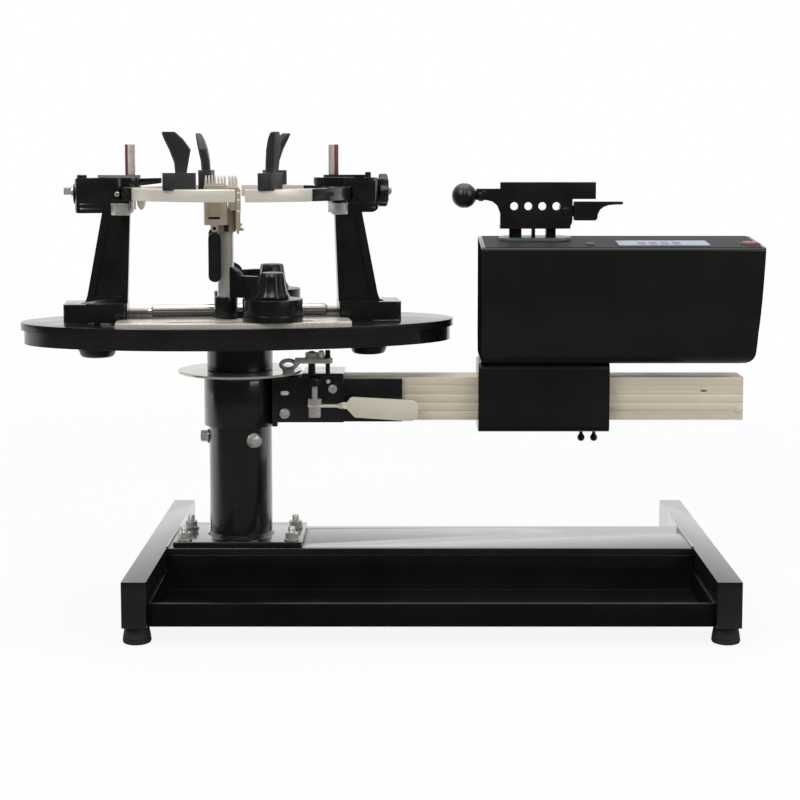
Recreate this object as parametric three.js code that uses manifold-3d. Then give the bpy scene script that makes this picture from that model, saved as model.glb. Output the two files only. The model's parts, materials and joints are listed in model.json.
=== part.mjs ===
// A racket stringing machine: an H-shaped floor frame with a tool tray, a column that carries a turning
// table with two racket posts and two string clamps, and a rail at the side with a tension unit on it.
// Millimetres, +Z up, +X along the rail towards the tension unit, -Y towards the user.
import * as THREE from "three";
import { mergeVertices } from "three/addons/utils/BufferGeometryUtils.js";
import Module from "manifold-3d";

const wasm = await Module();
wasm.setup();

// Clearances and facets, shared by every sub-assembly
const seatGap = 0.3;
const runGap = 0.35;
const cutOverrun = 2;
const weldDistance = 0.001;
const smallSides = 8;
const mediumSides = 18;
const largeSides = 28;
const rimSides = 56;
const hexSides = 6;
const tableRimSegments = 24;

// Floor frame
const frameLength = 620;
const legLength = 400;
const legWidth = 25;
const legHeight = 47;
const legWall = 2;
const columnFromLeft = 101.5;
const footHeight = 19.5;
const footTopRadius = 12;
const footBottomRadius = 14.5;
const footEdgeRadius = 2.5;
const footInset = 20;
const footStudRadius = 4;
const footStudLength = 8;
const channelWidth = 109;
const channelWall = 3;

// Tool tray
const trayDepth = 138.5;
const trayLipHeight = 23.5;
const trayBackHeight = 40;
const traySheet = 2;
const trayHem = 5;

// Column
const columnPlateLength = 140;
const columnPlateWidth = 100;
const columnPlateThickness = 5.5;
const columnRadius = 34.5;
const columnWall = 3.5;
const columnHeight = 175.8;
const baseBoltSpacingX = 119;
const baseBoltSpacingY = 73;
const baseBoltRadius = 4;
const baseBoltStandOut = 21;
const baseNutAcross = 13;
const baseNutHeight = 6.5;
const baseWasherRadius = 8.5;
const baseWasherThickness = 1.6;
const supportBoltCount = 3;
const supportBoltDrop = 14;
const supportBoltHeadRadius = 6.5;
const supportBoltHeadLength = 9.5;
const supportBoltWasherRadius = 8;
const supportBoltWasherThickness = 2;
const supportBoltTurn = -61;

// Arm collar, bracket and rail
const collarHeight = 53.8;
const collarWall = 5;
const bracketReach = 115;
const bracketHalfWidth = 30;
const bracketDrop = 4.5;
const bracketHeadroom = 2.4;
const cheekEnd = 178.5;
const cheekThickness = 4;
const cheekInset = 1.3;
const railStart = 62;
const railEnd = 550.5;
const railHeight = 47;
const railWidth = 40;
const railWall = 3;
const railRise = 1.3;
const railGrooveDepth = 0.5;
const railGrooveWidth = 1.6;
const railGrooveCount = 4;
const railScrewRadius = 3.5;
const railScrewHead = 2;
const railScrewFromEnd = 5;
const railScrewDrop = 11.8;

// Spindle, bearing, hub and brake disc
const spindleRadius = 12.5;
const spindleLength = 92;
const bearingFlangeThickness = 3.4;
const bearingFlangeRadius = 37;
const bearingLength = 52;
const discRadius = 68;
const discThickness = 2.6;
const hubRadius = 36;
const hubHeight = 31.4;
const hubFlangeRadius = 46;
const hubFlangeThickness = 6;

// Brake
const brakeStudX = 84;
const brakeStudY = -37.5;
const brakeStudRadius = 3.4;
const brakeStudRise = 6;
const brakeBarThickness = 5.5;
const brakeBarWidth = 14;
const brakeBarLift = 9;
const brakeNutAcross = 12;
const brakeNutHeight = 6;
const brakeEyeX = 59;
const brakePostX = 97;
const leverHubRadius = 6.6;
const leverHubHeight = 10;
const leverDrop = 31;
const leverBarWidth = 7;
const leverBarThickness = 3;
const leverShankLength = 28;
const leverHandleStart = 40;
const leverHandleEnd = 112;
const leverHandleHeight = 22;
const leverHandleThickness = 3;

// Turntable casting
const tableTurn = 6.4;
const tableSemiLength = 236;
const tableSemiWidth = 105;
const tableThickness = 23;
const tableLipHeight = 7.7;
const tableLipOverhang = 3.5;
const tablePocketDepth = 8;
const tablePocketRib = 8;
const tablePocketRim = 12;
const tablePocketColumns = 6;
const tableSpineHalfWidth = 30;
const saddleLength = 26;
const saddleWidth = 24;

// Track plates
const trackInner = 36;
const trackHalfLength = 120;
const trackRimInset = 9;
const trackThickness = 9.4;
const trackSink = 4.6;
const trackCornerRadius = 14;
const trackSlotWidth = 11;
const trackSlotHalfLength = 78;
const trackSlotInset = 36;
const teeHeadWidth = 18;
const teeHeadHeight = 4;
const teeGrooveDepth = 6.5;

// Post drive screw
const screwBarrelRadius = 7;
const screwBarrelHalfLength = 95;
const screwThreadRadius = 4;
const screwCollarRadius = 9;
const screwCollarLength = 5;

// Posts
const postLeftX = -154.5;
const postRightX = 142;
const postBaseLength = 68;
const postBaseWidth = 54;
const postBaseHeight = 20;
const postBladeBottom = 43;
const postBladeTop = 29.5;
const postBladeLean = 5.5;
const postBladeThickness = 24;
const postBladeFillet = 9;
const postPanelDepth = 2.5;
const postPanelMargin = 7;
const postHeadLengthLeft = 50.5;
const postHeadLengthRight = 40.8;
const postHeadWidth = 34;
const postHeadHeight = 37.6;
const postHeadRise = 117.8;
const postBladeInset = 2;
const postHeadInset = 4;
const postHeadRound = 6;
const postShelfLeft = 19;
const postShelfRight = 30;
const postShelfWidth = 24;
const postTravelOut = 30;
const postTravelIn = 3;
const lockKnobRadius = 21;
const lockKnobHeight = 9.5;
const lockKnobRound = 3;
const lockStudRadius = 4;
const lockStudGrip = 7;

// Yokes
const yokeRadius = 114;
const yokeWidth = 18;
const yokeThickness = 12.9;
const yokeRise = 14.4;
const yokeTipGap = 10;
const yokeRootLength = 26;
const yokeRootWidth = 24;
const yokeFlangeHalfWidth = 33;
const yokeFlangeRound = 6;
const yokeBoltClearance = 1;
const yokeBoltRadius = 9.5;
const yokeBoltHeight = 12;
const yokeBoltInset = 2;

// Head pegs and their screws
const pegLugLength = 10;
const pegLugWidth = 8;
const pegLugInset = 20;
const pegTravelOut = 6;
const pegTravelIn = 8;
const pegPlateLength = 45;
const pegPlateOverhang = 19;
const pegPlateWidth = 20;
const pegPlateThickness = 2.6;
const pegFingerInset = 5.5;
const pegFingerRound = 3.5;
const pegFingerLength = 10.5;
const pegFingerWidth = 16;
const pegFingerHeight = 33;
const pegScrewRadius = 3;
const pegScrewRise = 23.5;
const starKnobRadius = 18;
const starKnobThickness = 10.5;
const starKnobLobes = 6;
const starKnobScallop = 4.5;
const starTipLength = 4;
const squareEndSize = 8;
const squareEndLength = 8;

// Side claws: a fin on a block that sits on the yoke, each turned to suit the racket
const clawBlockLength = 34;
const clawBlockWidth = 15;
const clawBlockHeight = 16.5;
const clawBlockRound = 2.5;
const clawCheekThickness = 3;
const clawCheekDrop = 8;
const clawLipDrop = 1.2;
const clawFinHeight = 42.5;
const clawFinThickness = 9.5;
const clawFinLean = 10.5;
const clawNearLeftX = -62;
const clawNearRightX = 31;
const clawFarLeftX = -35;
const clawFarRightX = 43;
const clawNearLeftTurn = -2;
const clawNearRightTurn = 64;
const clawFarLeftTurn = 262;
const clawFarRightTurn = 118;

// String clamps
const clampFrontX = 34;
const clampRearX = 38;
const clampPostX = -15;
const clampPostFromSlot = 33.8;
const clampBaseRadius = 32;
const clampBaseHeight = 7.5;
const clampDrumHeight = 15.5;
const clampKnobSkirtRadius = 19;
const clampKnobTopRadius = 12.5;
const clampKnobHeight = 27.5;
const clampKnobSkirtHeight = 7;
const clampKnobFlutes = 12;
const clampKnobFluteRadius = 2.2;
const clampWebThickness = 9;
const clampWebHeight = 23;
const clampWebRise = 11;
const clampWebHollow = 15;
const clampSocketRadius = 12.5;
const clampRodRadius = 9;
const clampRodGrip = 17;
const clampSocketRise = 1.5;
const clampHeadRise = 101.5;
const clampHeadHeight = 40;
const clampHeadLength = 24.5;
const clampHeadOuter = 24;
const clampHeadInner = 11.5;
const clampHeadShift = -10;
const clampHeadRound = 2.5;
const clampSleeveRadius = 11.5;
const clampSleeveDrop = 8;
const clampJawThickness = 12.5;
const clampJawHeight = 22.5;
const clampJawGap = 1.6;
const clampJawChamfer = 3;
const clampJawTail = 27;
const clampJawTailThickness = 4;
const clampJawTailTaper = 2;
const clampToothCount = 5;
const clampToothHeight = 11;
const clampToothLength = 6;
const clampToothPitch = 6;
const clampToothThickness = 2.6;
const clampLeverOffset = 1.5;
const clampLeverFromRod = 17.5;
const clampLeverLength = 52.5;
const clampLeverWidth = 13.5;
const clampLeverThickness = 11;
const clampLeverDrop = 8;
const clampLeverPivotDrop = 3.6;
const clampLeverEye = 3.2;
const clampLeverPinRadius = 1.8;
const clampLeverTongue = 4;
const clampEarRadius = 4.1;
const clampEarThickness = 3;

// Tension unit: the carriage on the rail
const carriageStart = 261;
const carriageLength = 142;
const carriageHeight = 75.4;
const carriageHalfWidth = 36;
const carriageRound = 8;
const carriageUnderRail = 11.5;
const lockScrewRadius = 4;
const lockScrewHeadRadius = 4.2;
const lockScrewHeadHeight = 9;
const lockScrewSpacing = 14;
const lockScrewInset = 20;

// Tension unit: the housing
const housingOffset = 2.5;
const housingLength = 304;
const housingFrontY = -50;
const housingRearY = 50;
const housingFrontHeight = 125.5;
const housingRearHeight = 133.4;
const housingBulge = 4;
const housingUnderCurve = 34;
const housingEndSlant = 9;
const housingEndRound = 16;
const housingTopRound = 5;
const slotStart = 22;
const slotLength = 185;
const slotWidth = 12;
const slotDepth = 12;
const slotFromFront = 66;
const keypadStart = 147.5;
const keypadLength = 98;
const keypadFromFront = 12;
const keypadWidth = 36;
const keypadThickness = 1.4;
const keyCount = 6;
const keySize = 9;
const keyHeight = 0.8;
const keyRowShare = 0.25;
const stopButtonX = 291;
const stopButtonFromFront = 30;
const stopButtonRadius = 8.5;
const stopButtonHeight = 6;
const stopButtonTravel = 2;
const switchX = 118;
const switchFromFront = 26;
const switchLength = 9;
const switchWidth = 18;
const switchRise = 1.6;
const switchHoleDepth = 5;
const switchSink = 1.3;
const inletX = 262;
const inletRise = 30;
const inletWidth = 28;
const inletHeight = 21;
const inletDepth = 6;
const inletFlange = 4;
const inletFloor = 0.8;

// Tension unit: the string gripper
const gripperPlateOffset = 21.5;
const gripperPlateLength = 79;
const gripperPlateRise = 10.4;
const gripperPlateHeight = 50.8;
const gripperPlateThickness = 10;
const gripperBarLength = 25.4;
const gripperBarHeight = 18.5;
const gripperHoleRadius = 4.3;
const gripperHoleCount = 4;
const gripperHolePitch = 15.3;
const gripperHoleStart = 15.5;
const gripperHoleDrop = 26.2;
const gripperCarriageLength = 80;
const gripperCarriageWidth = 30;
const gripperCarriageThickness = 3;
const gripperTongueLength = 60;
const gripperLegCount = 3;
const gripperLegLength = 11;
const gripperLegWidth = 16;
const noseBallRadius = 13.6;
const noseBallReach = 38.8;
const noseBallDrop = 14.8;
const noseNeckHeight = 13;
const noseForkThickness = 4;
const nosePinRadius = 3;
const gripperJawPinInset = 7.5;
const gripperJawPinDrop = 31.7;
const gripperJawGap = 1.5;
const gripperEarThickness = 4;
const gripperEarMargin = 3;
const gripperPinHead = 2;
const gripperJawLength = 23;
const gripperJawHeight = 20;
const gripperJawThickness = 10;
const gripperFingerLength = 30.5;
const gripperFingerHeight = 3.3;
const gripperPinRadius = 3.2;

// Derived levels, from the floor up
const legTop = footHeight + legHeight;
const channelUnderside = legTop - channelWall;
const plateBottom = legTop + seatGap;
const plateTop = plateBottom + columnPlateThickness;
const columnTop = plateTop + columnHeight;
const collarTop = columnTop;
const collarBottom = collarTop - collarHeight;
const bearingTop = columnTop + seatGap + bearingFlangeThickness;
const discBottom = bearingTop + seatGap;
const discTop = discBottom + discThickness;
const hubBottom = discTop + seatGap;
const hubTop = hubBottom + hubHeight;
const tableBottom = hubTop + seatGap;
const tableTop = tableBottom + tableThickness;
const trackTop = tableTop - trackSink + trackThickness;
const postBaseTop = tableTop + seatGap + postBaseHeight;
const screwAxisZ = tableTop + seatGap + postBaseHeight / 2;
const postHeadBottom = tableTop + postHeadRise;
const postHeadTop = postHeadBottom + postHeadHeight;
const trackSlotY = tableSemiWidth - trackSlotInset;
const clampPostY = trackSlotY - clampPostFromSlot;
const clampSocketBottom = trackTop + clampSocketRise;
const clampHeadBottom = trackTop + clampHeadRise;
const clampRodTop = clampHeadBottom + clampRodGrip;
const yokeBottom = postHeadBottom + yokeRise;
const yokeTop = yokeBottom + yokeThickness;
const pegScrewZ = postHeadBottom + pegScrewRise;
const railBottom = collarBottom + cheekInset + railRise + bracketDrop;
const railTop = railBottom + railHeight;
const railMidZ = (railBottom + railTop) / 2;
const frameLeft = -columnFromLeft;
const frameRight = frameLeft + frameLength;
const legInnerLeft = frameLeft + legWidth;
const legInnerRight = frameRight - legWidth;
const tableTurnRadians = THREE.MathUtils.degToRad(tableTurn);
const tableReach = Math.hypot(
  tableSemiLength * Math.cos(tableTurnRadians),
  tableSemiWidth * Math.sin(tableTurnRadians),
);
const carriageBottom = railBottom - carriageUnderRail;
const carriageTop = carriageBottom + carriageHeight;
const carriageEnd = carriageStart + carriageLength;
const housingStart = carriageStart + housingOffset;
const housingEnd = housingStart + housingLength;
const housingBottom = carriageTop + seatGap;
const housingRearTop = housingBottom + housingRearHeight;
const gripperPlateStart = housingStart + gripperPlateOffset;
const gripperPlateEnd = gripperPlateStart + gripperPlateLength;
const gripperPlateBottom = housingRearTop + gripperPlateRise;
const gripperPlateTop = gripperPlateBottom + gripperPlateHeight;
const gripperBarEnd = gripperPlateEnd + gripperBarLength;
const noseBallX = gripperPlateStart - noseBallReach;
const noseBallZ = gripperPlateTop - noseBallDrop;
const machineCentreX = (housingEnd - tableReach) / 2;

// Finishes
function finish(color, roughness, metalness) {
  return () => new THREE.MeshStandardMaterial({ color, roughness, metalness });
}
const blackPaint = finish(0x17181a, 0.35, 0.2);
const glossBlack = finish(0x0c0c0e, 0.12, 0.1);
const castBlack = finish(0x141516, 0.45, 0.3);
const polishedSteel = finish(0xc9c9c6, 0.2, 1);
const zincSteel = finish(0x9a9b98, 0.35, 1);
const paleAluminium = finish(0xc4c3bb, 0.38, 0.9);
const brushedAluminium = finish(0xb9b8b2, 0.45, 0.9);
const blackRubber = finish(0x1b1b1b, 0.85, 0);
const darkPlastic = finish(0x26282a, 0.5, 0);
const knobPlastic = finish(0x101113, 0.4, 0);
const clearPlastic = finish(0xd8d2cb, 0.3, 0);
const panelPlastic = finish(0x8fb4cf, 0.4, 0);
const redPlastic = finish(0xb4202a, 0.4, 0);

// Solids: a closed geometry becomes a manifold, and one that comes out inside out is turned round
function solid(geometry) {
  const bare = geometry.index ? geometry.toNonIndexed() : geometry.clone();
  bare.deleteAttribute("normal");
  bare.deleteAttribute("uv");
  const merged = mergeVertices(bare, weldDistance);
  const points = merged.attributes.position;
  const corners = [];
  for (let i = 0; i < merged.index.count; i += 3) {
    const [a, b, c] = [0, 1, 2].map((step) => merged.index.getX(i + step));
    if (a !== b && b !== c && a !== c) corners.push([a, b, c]);
  }
  const wound = (order) =>
    new wasm.Manifold(
      new wasm.Mesh({
        numProp: 3,
        vertProperties: new Float32Array(points.array),
        triVerts: new Uint32Array(corners.flatMap(order)),
      }),
    );
  const made = wound(([a, b, c]) => [a, b, c]);
  return made.volume() < 0 ? wound(([a, b, c]) => [a, c, b]) : made;
}

const asSolid = (shape) => (shape.isBufferGeometry ? solid(shape) : shape);

function join(...shapes) {
  return shapes.flat().map(asSolid).reduce((whole, next) => whole.add(next));
}

function cut(body, ...tools) {
  return tools.flat().map(asSolid).reduce((whole, tool) => whole.subtract(tool), asSolid(body));
}

function overlap(body, other) {
  return asSolid(body).intersect(asSolid(other));
}

// One named mesh of a solid
function piece(name, material, ...shapes) {
  const made = join(...shapes).getMesh();
  const geometry = new THREE.BufferGeometry();
  geometry.setAttribute("position", new THREE.BufferAttribute(new Float32Array(made.vertProperties), 3));
  geometry.setIndex(new THREE.BufferAttribute(new Uint32Array(made.triVerts), 1));
  const flat = geometry.toNonIndexed();
  flat.computeVertexNormals();
  const mesh = new THREE.Mesh(flat, material());
  mesh.name = name;
  return mesh;
}

// Basic forms
function block(x0, x1, y0, y1, z0, z1) {
  return new THREE.BoxGeometry(x1 - x0, y1 - y0, z1 - z0).translate(
    (x0 + x1) / 2,
    (y0 + y1) / 2,
    (z0 + z1) / 2,
  );
}

function drum(radius, z0, z1, sides = mediumSides, topRadius = radius) {
  return new THREE.CylinderGeometry(topRadius, radius, z1 - z0, sides)
    .rotateX(Math.PI / 2)
    .translate(0, 0, (z0 + z1) / 2);
}

function drumAlongX(radius, x0, x1, sides = smallSides) {
  return new THREE.CylinderGeometry(radius, radius, x1 - x0, sides)
    .rotateZ(-Math.PI / 2)
    .translate((x0 + x1) / 2, 0, 0);
}

function drumAlongY(radius, y0, y1, sides = smallSides) {
  return new THREE.CylinderGeometry(radius, radius, y1 - y0, sides).translate(0, (y0 + y1) / 2, 0);
}

function hexagon(across, z0, z1) {
  return drum(across / Math.sqrt(3), z0, z1, hexSides);
}

function revolve(profile, sides = mediumSides) {
  const points = profile.map(([radius, z]) => new THREE.Vector2(radius, z));
  return new THREE.LatheGeometry(points, sides).rotateX(Math.PI / 2);
}

function extrude(shape, depth, curveSegments = 2) {
  return new THREE.ExtrudeGeometry(shape, { depth, bevelEnabled: false, steps: 1, curveSegments });
}

// A skin through rings of points that all have the same number of corners, closed at both ends
function loft(rings) {
  const count = rings[0].length;
  const last = (rings.length - 1) * count;
  const corners = [];
  for (let start = 0; start < last; start += count) {
    for (let i = 0; i < count; i += 1) {
      const next = (i + 1) % count;
      corners.push(start + i, start + next, start + next + count);
      corners.push(start + i, start + next + count, start + i + count);
    }
  }
  for (let i = 1; i < count - 1; i += 1) {
    corners.push(0, i + 1, i, last, last + i, last + i + 1);
  }
  const geometry = new THREE.BufferGeometry();
  geometry.setAttribute("position", new THREE.Float32BufferAttribute(rings.flat(2), 3));
  geometry.setIndex(corners);
  return geometry;
}

// A plan outline pulled up, an elevation outline (x, z) pulled along Y, and a section (y, z) pulled along X
function upFrom(shape, z0, z1, curveSegments) {
  return extrude(shape, z1 - z0, curveSegments).translate(0, 0, z0);
}

function alongY(shape, y0, y1, curveSegments) {
  return extrude(shape, y1 - y0, curveSegments).rotateX(Math.PI / 2).translate(0, y1, 0);
}

function alongX(shape, x0, x1, curveSegments) {
  const axes = new THREE.Matrix4().makeBasis(
    new THREE.Vector3(0, 1, 0),
    new THREE.Vector3(0, 0, 1),
    new THREE.Vector3(1, 0, 0),
  );
  return extrude(shape, x1 - x0, curveSegments).applyMatrix4(axes).translate(x0, 0, 0);
}

function outline(points) {
  return new THREE.Shape(points.map(([u, v]) => new THREE.Vector2(u, v)));
}

function roundedOutline(u0, u1, v0, v1, radius) {
  const shape = new THREE.Shape();
  shape.moveTo(u0 + radius, v0);
  shape.lineTo(u1 - radius, v0);
  shape.absarc(u1 - radius, v0 + radius, radius, -Math.PI / 2, 0);
  shape.lineTo(u1, v1 - radius);
  shape.absarc(u1 - radius, v1 - radius, radius, 0, Math.PI / 2);
  shape.lineTo(u0 + radius, v1);
  shape.absarc(u0 + radius, v1 - radius, radius, Math.PI / 2, Math.PI);
  shape.lineTo(u0, v0 + radius);
  shape.absarc(u0 + radius, v0 + radius, radius, Math.PI, 1.5 * Math.PI);
  return shape;
}

function slotOutline(u0, u1, vMid, width) {
  return roundedOutline(u0, u1, vMid - width / 2, vMid + width / 2, width / 2 - weldDistance);
}

function ellipseOutline(semiLength, semiWidth) {
  return new THREE.Shape().absellipse(0, 0, semiLength, semiWidth, 0, 2 * Math.PI);
}

function group(parts, place = {}) {
  const made = new THREE.Group();
  made.add(...parts);
  made.position.set(place.x ?? 0, place.y ?? 0, place.z ?? 0);
  made.rotation.z = place.turn ?? 0;
  return made;
}

// Floor frame: two legs across the ends of a folded channel
const footPlaces = [-1, 1].map((side) => side * (legLength / 2 - footInset));

function makeLeg(name, x0) {
  const x1 = x0 + legWidth;
  const outer = block(x0, x1, -legLength / 2, legLength / 2, footHeight, legTop);
  const inner = block(
    x0 + legWall,
    x1 - legWall,
    -legLength / 2 + legWall,
    legLength / 2 - legWall,
    footHeight + legWall,
    legTop - legWall,
  );
  const studHoles = footPlaces.map((y) =>
    drum(footStudRadius + seatGap, footHeight - cutOverrun, footHeight + legWall + cutOverrun, smallSides).translate(
      (x0 + x1) / 2,
      y,
      0,
    ),
  );
  return piece(name, blackPaint, cut(outer, inner, studHoles));
}

function makeFoot(name, x, y) {
  const top = footHeight - seatGap;
  const rounding = footEdgeRadius * (1 - Math.SQRT1_2);
  const body = revolve([
    [0, 0],
    [footBottomRadius - footEdgeRadius, 0],
    [footBottomRadius - rounding, rounding],
    [footBottomRadius, footEdgeRadius],
    [footTopRadius, top],
    [0, top],
  ]);
  const stud = drum(footStudRadius, top - cutOverrun, top + footStudLength, smallSides);
  return piece(name, blackRubber, join(body, stud).translate([x, y, 0]));
}

function baseBoltPlaces() {
  return [-1, 1].flatMap((sx) => [-1, 1].map((sy) => [(sx * baseBoltSpacingX) / 2, (sy * baseBoltSpacingY) / 2]));
}

function makeChannel() {
  const x0 = legInnerLeft + seatGap;
  const x1 = legInnerRight - seatGap;
  const half = channelWidth / 2;
  const outer = block(x0, x1, -half, half, footHeight, legTop);
  const inner = block(
    x0 - cutOverrun,
    x1 + cutOverrun,
    -half + channelWall,
    half - channelWall,
    footHeight - cutOverrun,
    channelUnderside,
  );
  const holes = baseBoltPlaces().map(([x, y]) =>
    drum(baseBoltRadius + seatGap, channelUnderside - cutOverrun, legTop + cutOverrun, smallSides).translate(x, y, 0),
  );
  return piece("cross_channel", blackPaint, cut(outer, inner, holes));
}

function makeTray() {
  const x0 = legInnerLeft + seatGap;
  const x1 = legInnerRight - seatGap;
  const back = -channelWidth / 2 - seatGap;
  const front = back - trayDepth;
  const floorTop = footHeight + traySheet;
  const lipTop = footHeight + trayLipHeight;
  const backTop = footHeight + trayBackHeight;
  const pan = cut(
    block(x0, x1, front, back, footHeight, lipTop),
    block(x0 + traySheet, x1 - traySheet, front + traySheet, back - traySheet, floorTop, lipTop + cutOverrun),
  );
  const backWall = block(x0, x1, back - traySheet, back, footHeight, backTop);
  const hem = block(x0, x1, front, front + trayHem, lipTop - traySheet, lipTop);
  return piece("tool_tray", blackPaint, pan, backWall, hem);
}

// Column: base plate, tube, the four bolts through the channel and the three radial bolts under the collar
function makeColumn() {
  const plate = upFrom(
    roundedOutline(
      -columnPlateLength / 2,
      columnPlateLength / 2,
      -columnPlateWidth / 2,
      columnPlateWidth / 2,
      baseWasherThickness,
    ),
    plateBottom,
    plateTop,
  );
  const tube = cut(
    drum(columnRadius, plateTop - seatGap, columnTop, largeSides),
    drum(columnRadius - columnWall, plateTop, columnTop + cutOverrun, largeSides),
  );
  const bolts = baseBoltPlaces().flatMap(([x, y]) =>
    [
      drum(baseBoltRadius, channelUnderside - seatGap - baseNutHeight, plateTop + baseBoltStandOut, smallSides),
      hexagon(baseNutAcross, channelUnderside - seatGap - baseNutHeight, channelUnderside - seatGap),
      drum(baseWasherRadius, plateTop - seatGap, plateTop + baseWasherThickness, smallSides),
      hexagon(
        baseNutAcross,
        plateTop + baseWasherThickness - seatGap,
        plateTop + baseWasherThickness + baseNutHeight,
      ),
    ].map((part) => part.translate(x, y, 0)),
  );
  const boltZ = collarBottom - supportBoltDrop;
  const start = columnRadius - columnWall / 2;
  const radialBolts = Array.from({ length: supportBoltCount }, (_, i) => {
    const turn = THREE.MathUtils.degToRad(supportBoltTurn + (360 / supportBoltCount) * i);
    const washerEnd = columnRadius + supportBoltWasherThickness;
    return [
      drumAlongX(supportBoltWasherRadius, start, washerEnd),
      drumAlongX(supportBoltHeadRadius, washerEnd - seatGap, washerEnd + supportBoltHeadLength, hexSides),
    ].map((part) => part.rotateZ(turn).translate(0, 0, boltZ));
  }).flat();
  return piece("column", blackPaint, plate, tube, bolts, radialBolts);
}

// Arm bracket: the collar on the column, a box beside it and two cheeks that hold the rail
function makeArmBracket() {
  const innerRadius = columnRadius + seatGap;
  const outerRadius = innerRadius + collarWall;
  const boxBottom = collarBottom + cheekInset;
  const boxTop = discBottom - bracketHeadroom;
  const collar = drum(outerRadius, collarBottom, collarTop - seatGap, largeSides);
  const box = block(
    outerRadius - collarWall / 2,
    bracketReach,
    -bracketHalfWidth,
    bracketHalfWidth,
    boxBottom,
    boxTop,
  );
  const cheekHalf = railWidth / 2 + seatGap + cheekThickness;
  const cheeks = block(
    bracketReach - cheekThickness,
    cheekEnd,
    -cheekHalf,
    cheekHalf,
    railBottom - railRise,
    railTop - railRise,
  );
  const bore = drum(innerRadius, collarBottom - cutOverrun, collarTop + cutOverrun, largeSides);
  const railHalf = railWidth / 2 + seatGap;
  const railPocket = block(
    railStart - seatGap,
    cheekEnd + cutOverrun,
    -railHalf,
    railHalf,
    railBottom - seatGap,
    railTop + seatGap,
  );
  const betweenCheeks = block(
    bracketReach,
    cheekEnd + cutOverrun,
    -railHalf,
    railHalf,
    boxBottom - cutOverrun,
    boxTop + cutOverrun,
  );
  const bodies = cut(join(box, cheeks), railPocket, betweenCheeks);
  return piece("arm_bracket", blackPaint, cut(join(collar, bodies), bore));
}

function makeRail() {
  const half = railWidth / 2;
  const outer = block(railStart, railEnd, -half, half, railBottom, railTop);
  const inner = block(
    railStart - cutOverrun,
    railEnd + cutOverrun,
    -half + railWall,
    half - railWall,
    railBottom + railWall,
    railTop - railWall,
  );
  const pitch = railHeight / (railGrooveCount + 1);
  const grooves = [-1, 1].flatMap((side) =>
    Array.from({ length: railGrooveCount }, (_, i) => {
      const z = railBottom + pitch * (i + 1);
      return block(
        railStart - cutOverrun,
        railEnd + cutOverrun,
        side * half - railGrooveDepth,
        side * half + railGrooveDepth,
        z - railGrooveWidth / 2,
        z + railGrooveWidth / 2,
      );
    }),
  );
  const screw = drumAlongY(railScrewRadius, -half - railScrewHead, -half + railWall / 2).translate(
    railEnd - railScrewFromEnd,
    0,
    railMidZ - railScrewDrop,
  );
  return piece("rail", brushedAluminium, cut(outer, inner, grooves), screw);
}

// Spindle, its bearing, the hub and the brake disc
function makeBearing() {
  const bodyRadius = columnRadius - columnWall - seatGap;
  const bore = spindleRadius + runGap;
  return piece(
    "spindle_bearing",
    zincSteel,
    revolve(
      [
        [bore, columnTop - bearingLength],
        [bodyRadius, columnTop - bearingLength],
        [bodyRadius, columnTop + seatGap],
        [bearingFlangeRadius, columnTop + seatGap],
        [bearingFlangeRadius, bearingTop],
        [bore, bearingTop],
        [bore, columnTop - bearingLength],
      ],
      largeSides,
    ),
  );
}

function makeSpindle() {
  return piece("spindle", polishedSteel, drum(spindleRadius, hubTop - spindleLength, hubTop, mediumSides));
}

function makeHub() {
  const bore = spindleRadius + seatGap;
  return piece(
    "turntable_hub",
    blackPaint,
    revolve(
      [
        [bore, hubBottom],
        [hubRadius, hubBottom],
        [hubRadius, hubTop - hubFlangeThickness],
        [hubFlangeRadius, hubTop - hubFlangeThickness],
        [hubFlangeRadius, hubTop],
        [bore, hubTop],
        [bore, hubBottom],
      ],
      largeSides,
    ),
  );
}

function makeDisc() {
  const plate = drum(discRadius, discBottom, discTop, rimSides);
  return piece(
    "brake_disc",
    polishedSteel,
    cut(plate, drum(spindleRadius + seatGap, discBottom - cutOverrun, discTop + cutOverrun)),
  );
}

// Brake: a caliper on the bracket that pinches the disc edge, and the hand lever under it
function makeBrakeCaliper() {
  const boxTop = discBottom - bracketHeadroom;
  const barBottom = boxTop + seatGap + brakeBarLift;
  const barTop = barBottom + brakeBarThickness;
  const half = brakeBarWidth / 2;
  const y = -bracketHalfWidth + half;
  const bar = block(brakeEyeX + half, brakePostX + half, y - half, y + half, barBottom, barTop);
  const foot = block(brakeEyeX - half, brakeEyeX + half, y - half, y + half, discTop + runGap, barTop);
  const post = drum(brakeStudRadius, boxTop + seatGap, barTop + brakeNutHeight, smallSides);
  const spacer = drum(brakeNutAcross / 2, boxTop + seatGap, barBottom + seatGap, smallSides);
  const nut = hexagon(brakeNutAcross, barTop - seatGap, barTop + brakeNutHeight);
  const placed = [post, spacer, nut].map((part) => part.translate(brakePostX - half / 2, y, 0));
  return piece("brake_caliper", zincSteel, bar, foot, placed);
}

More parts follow.
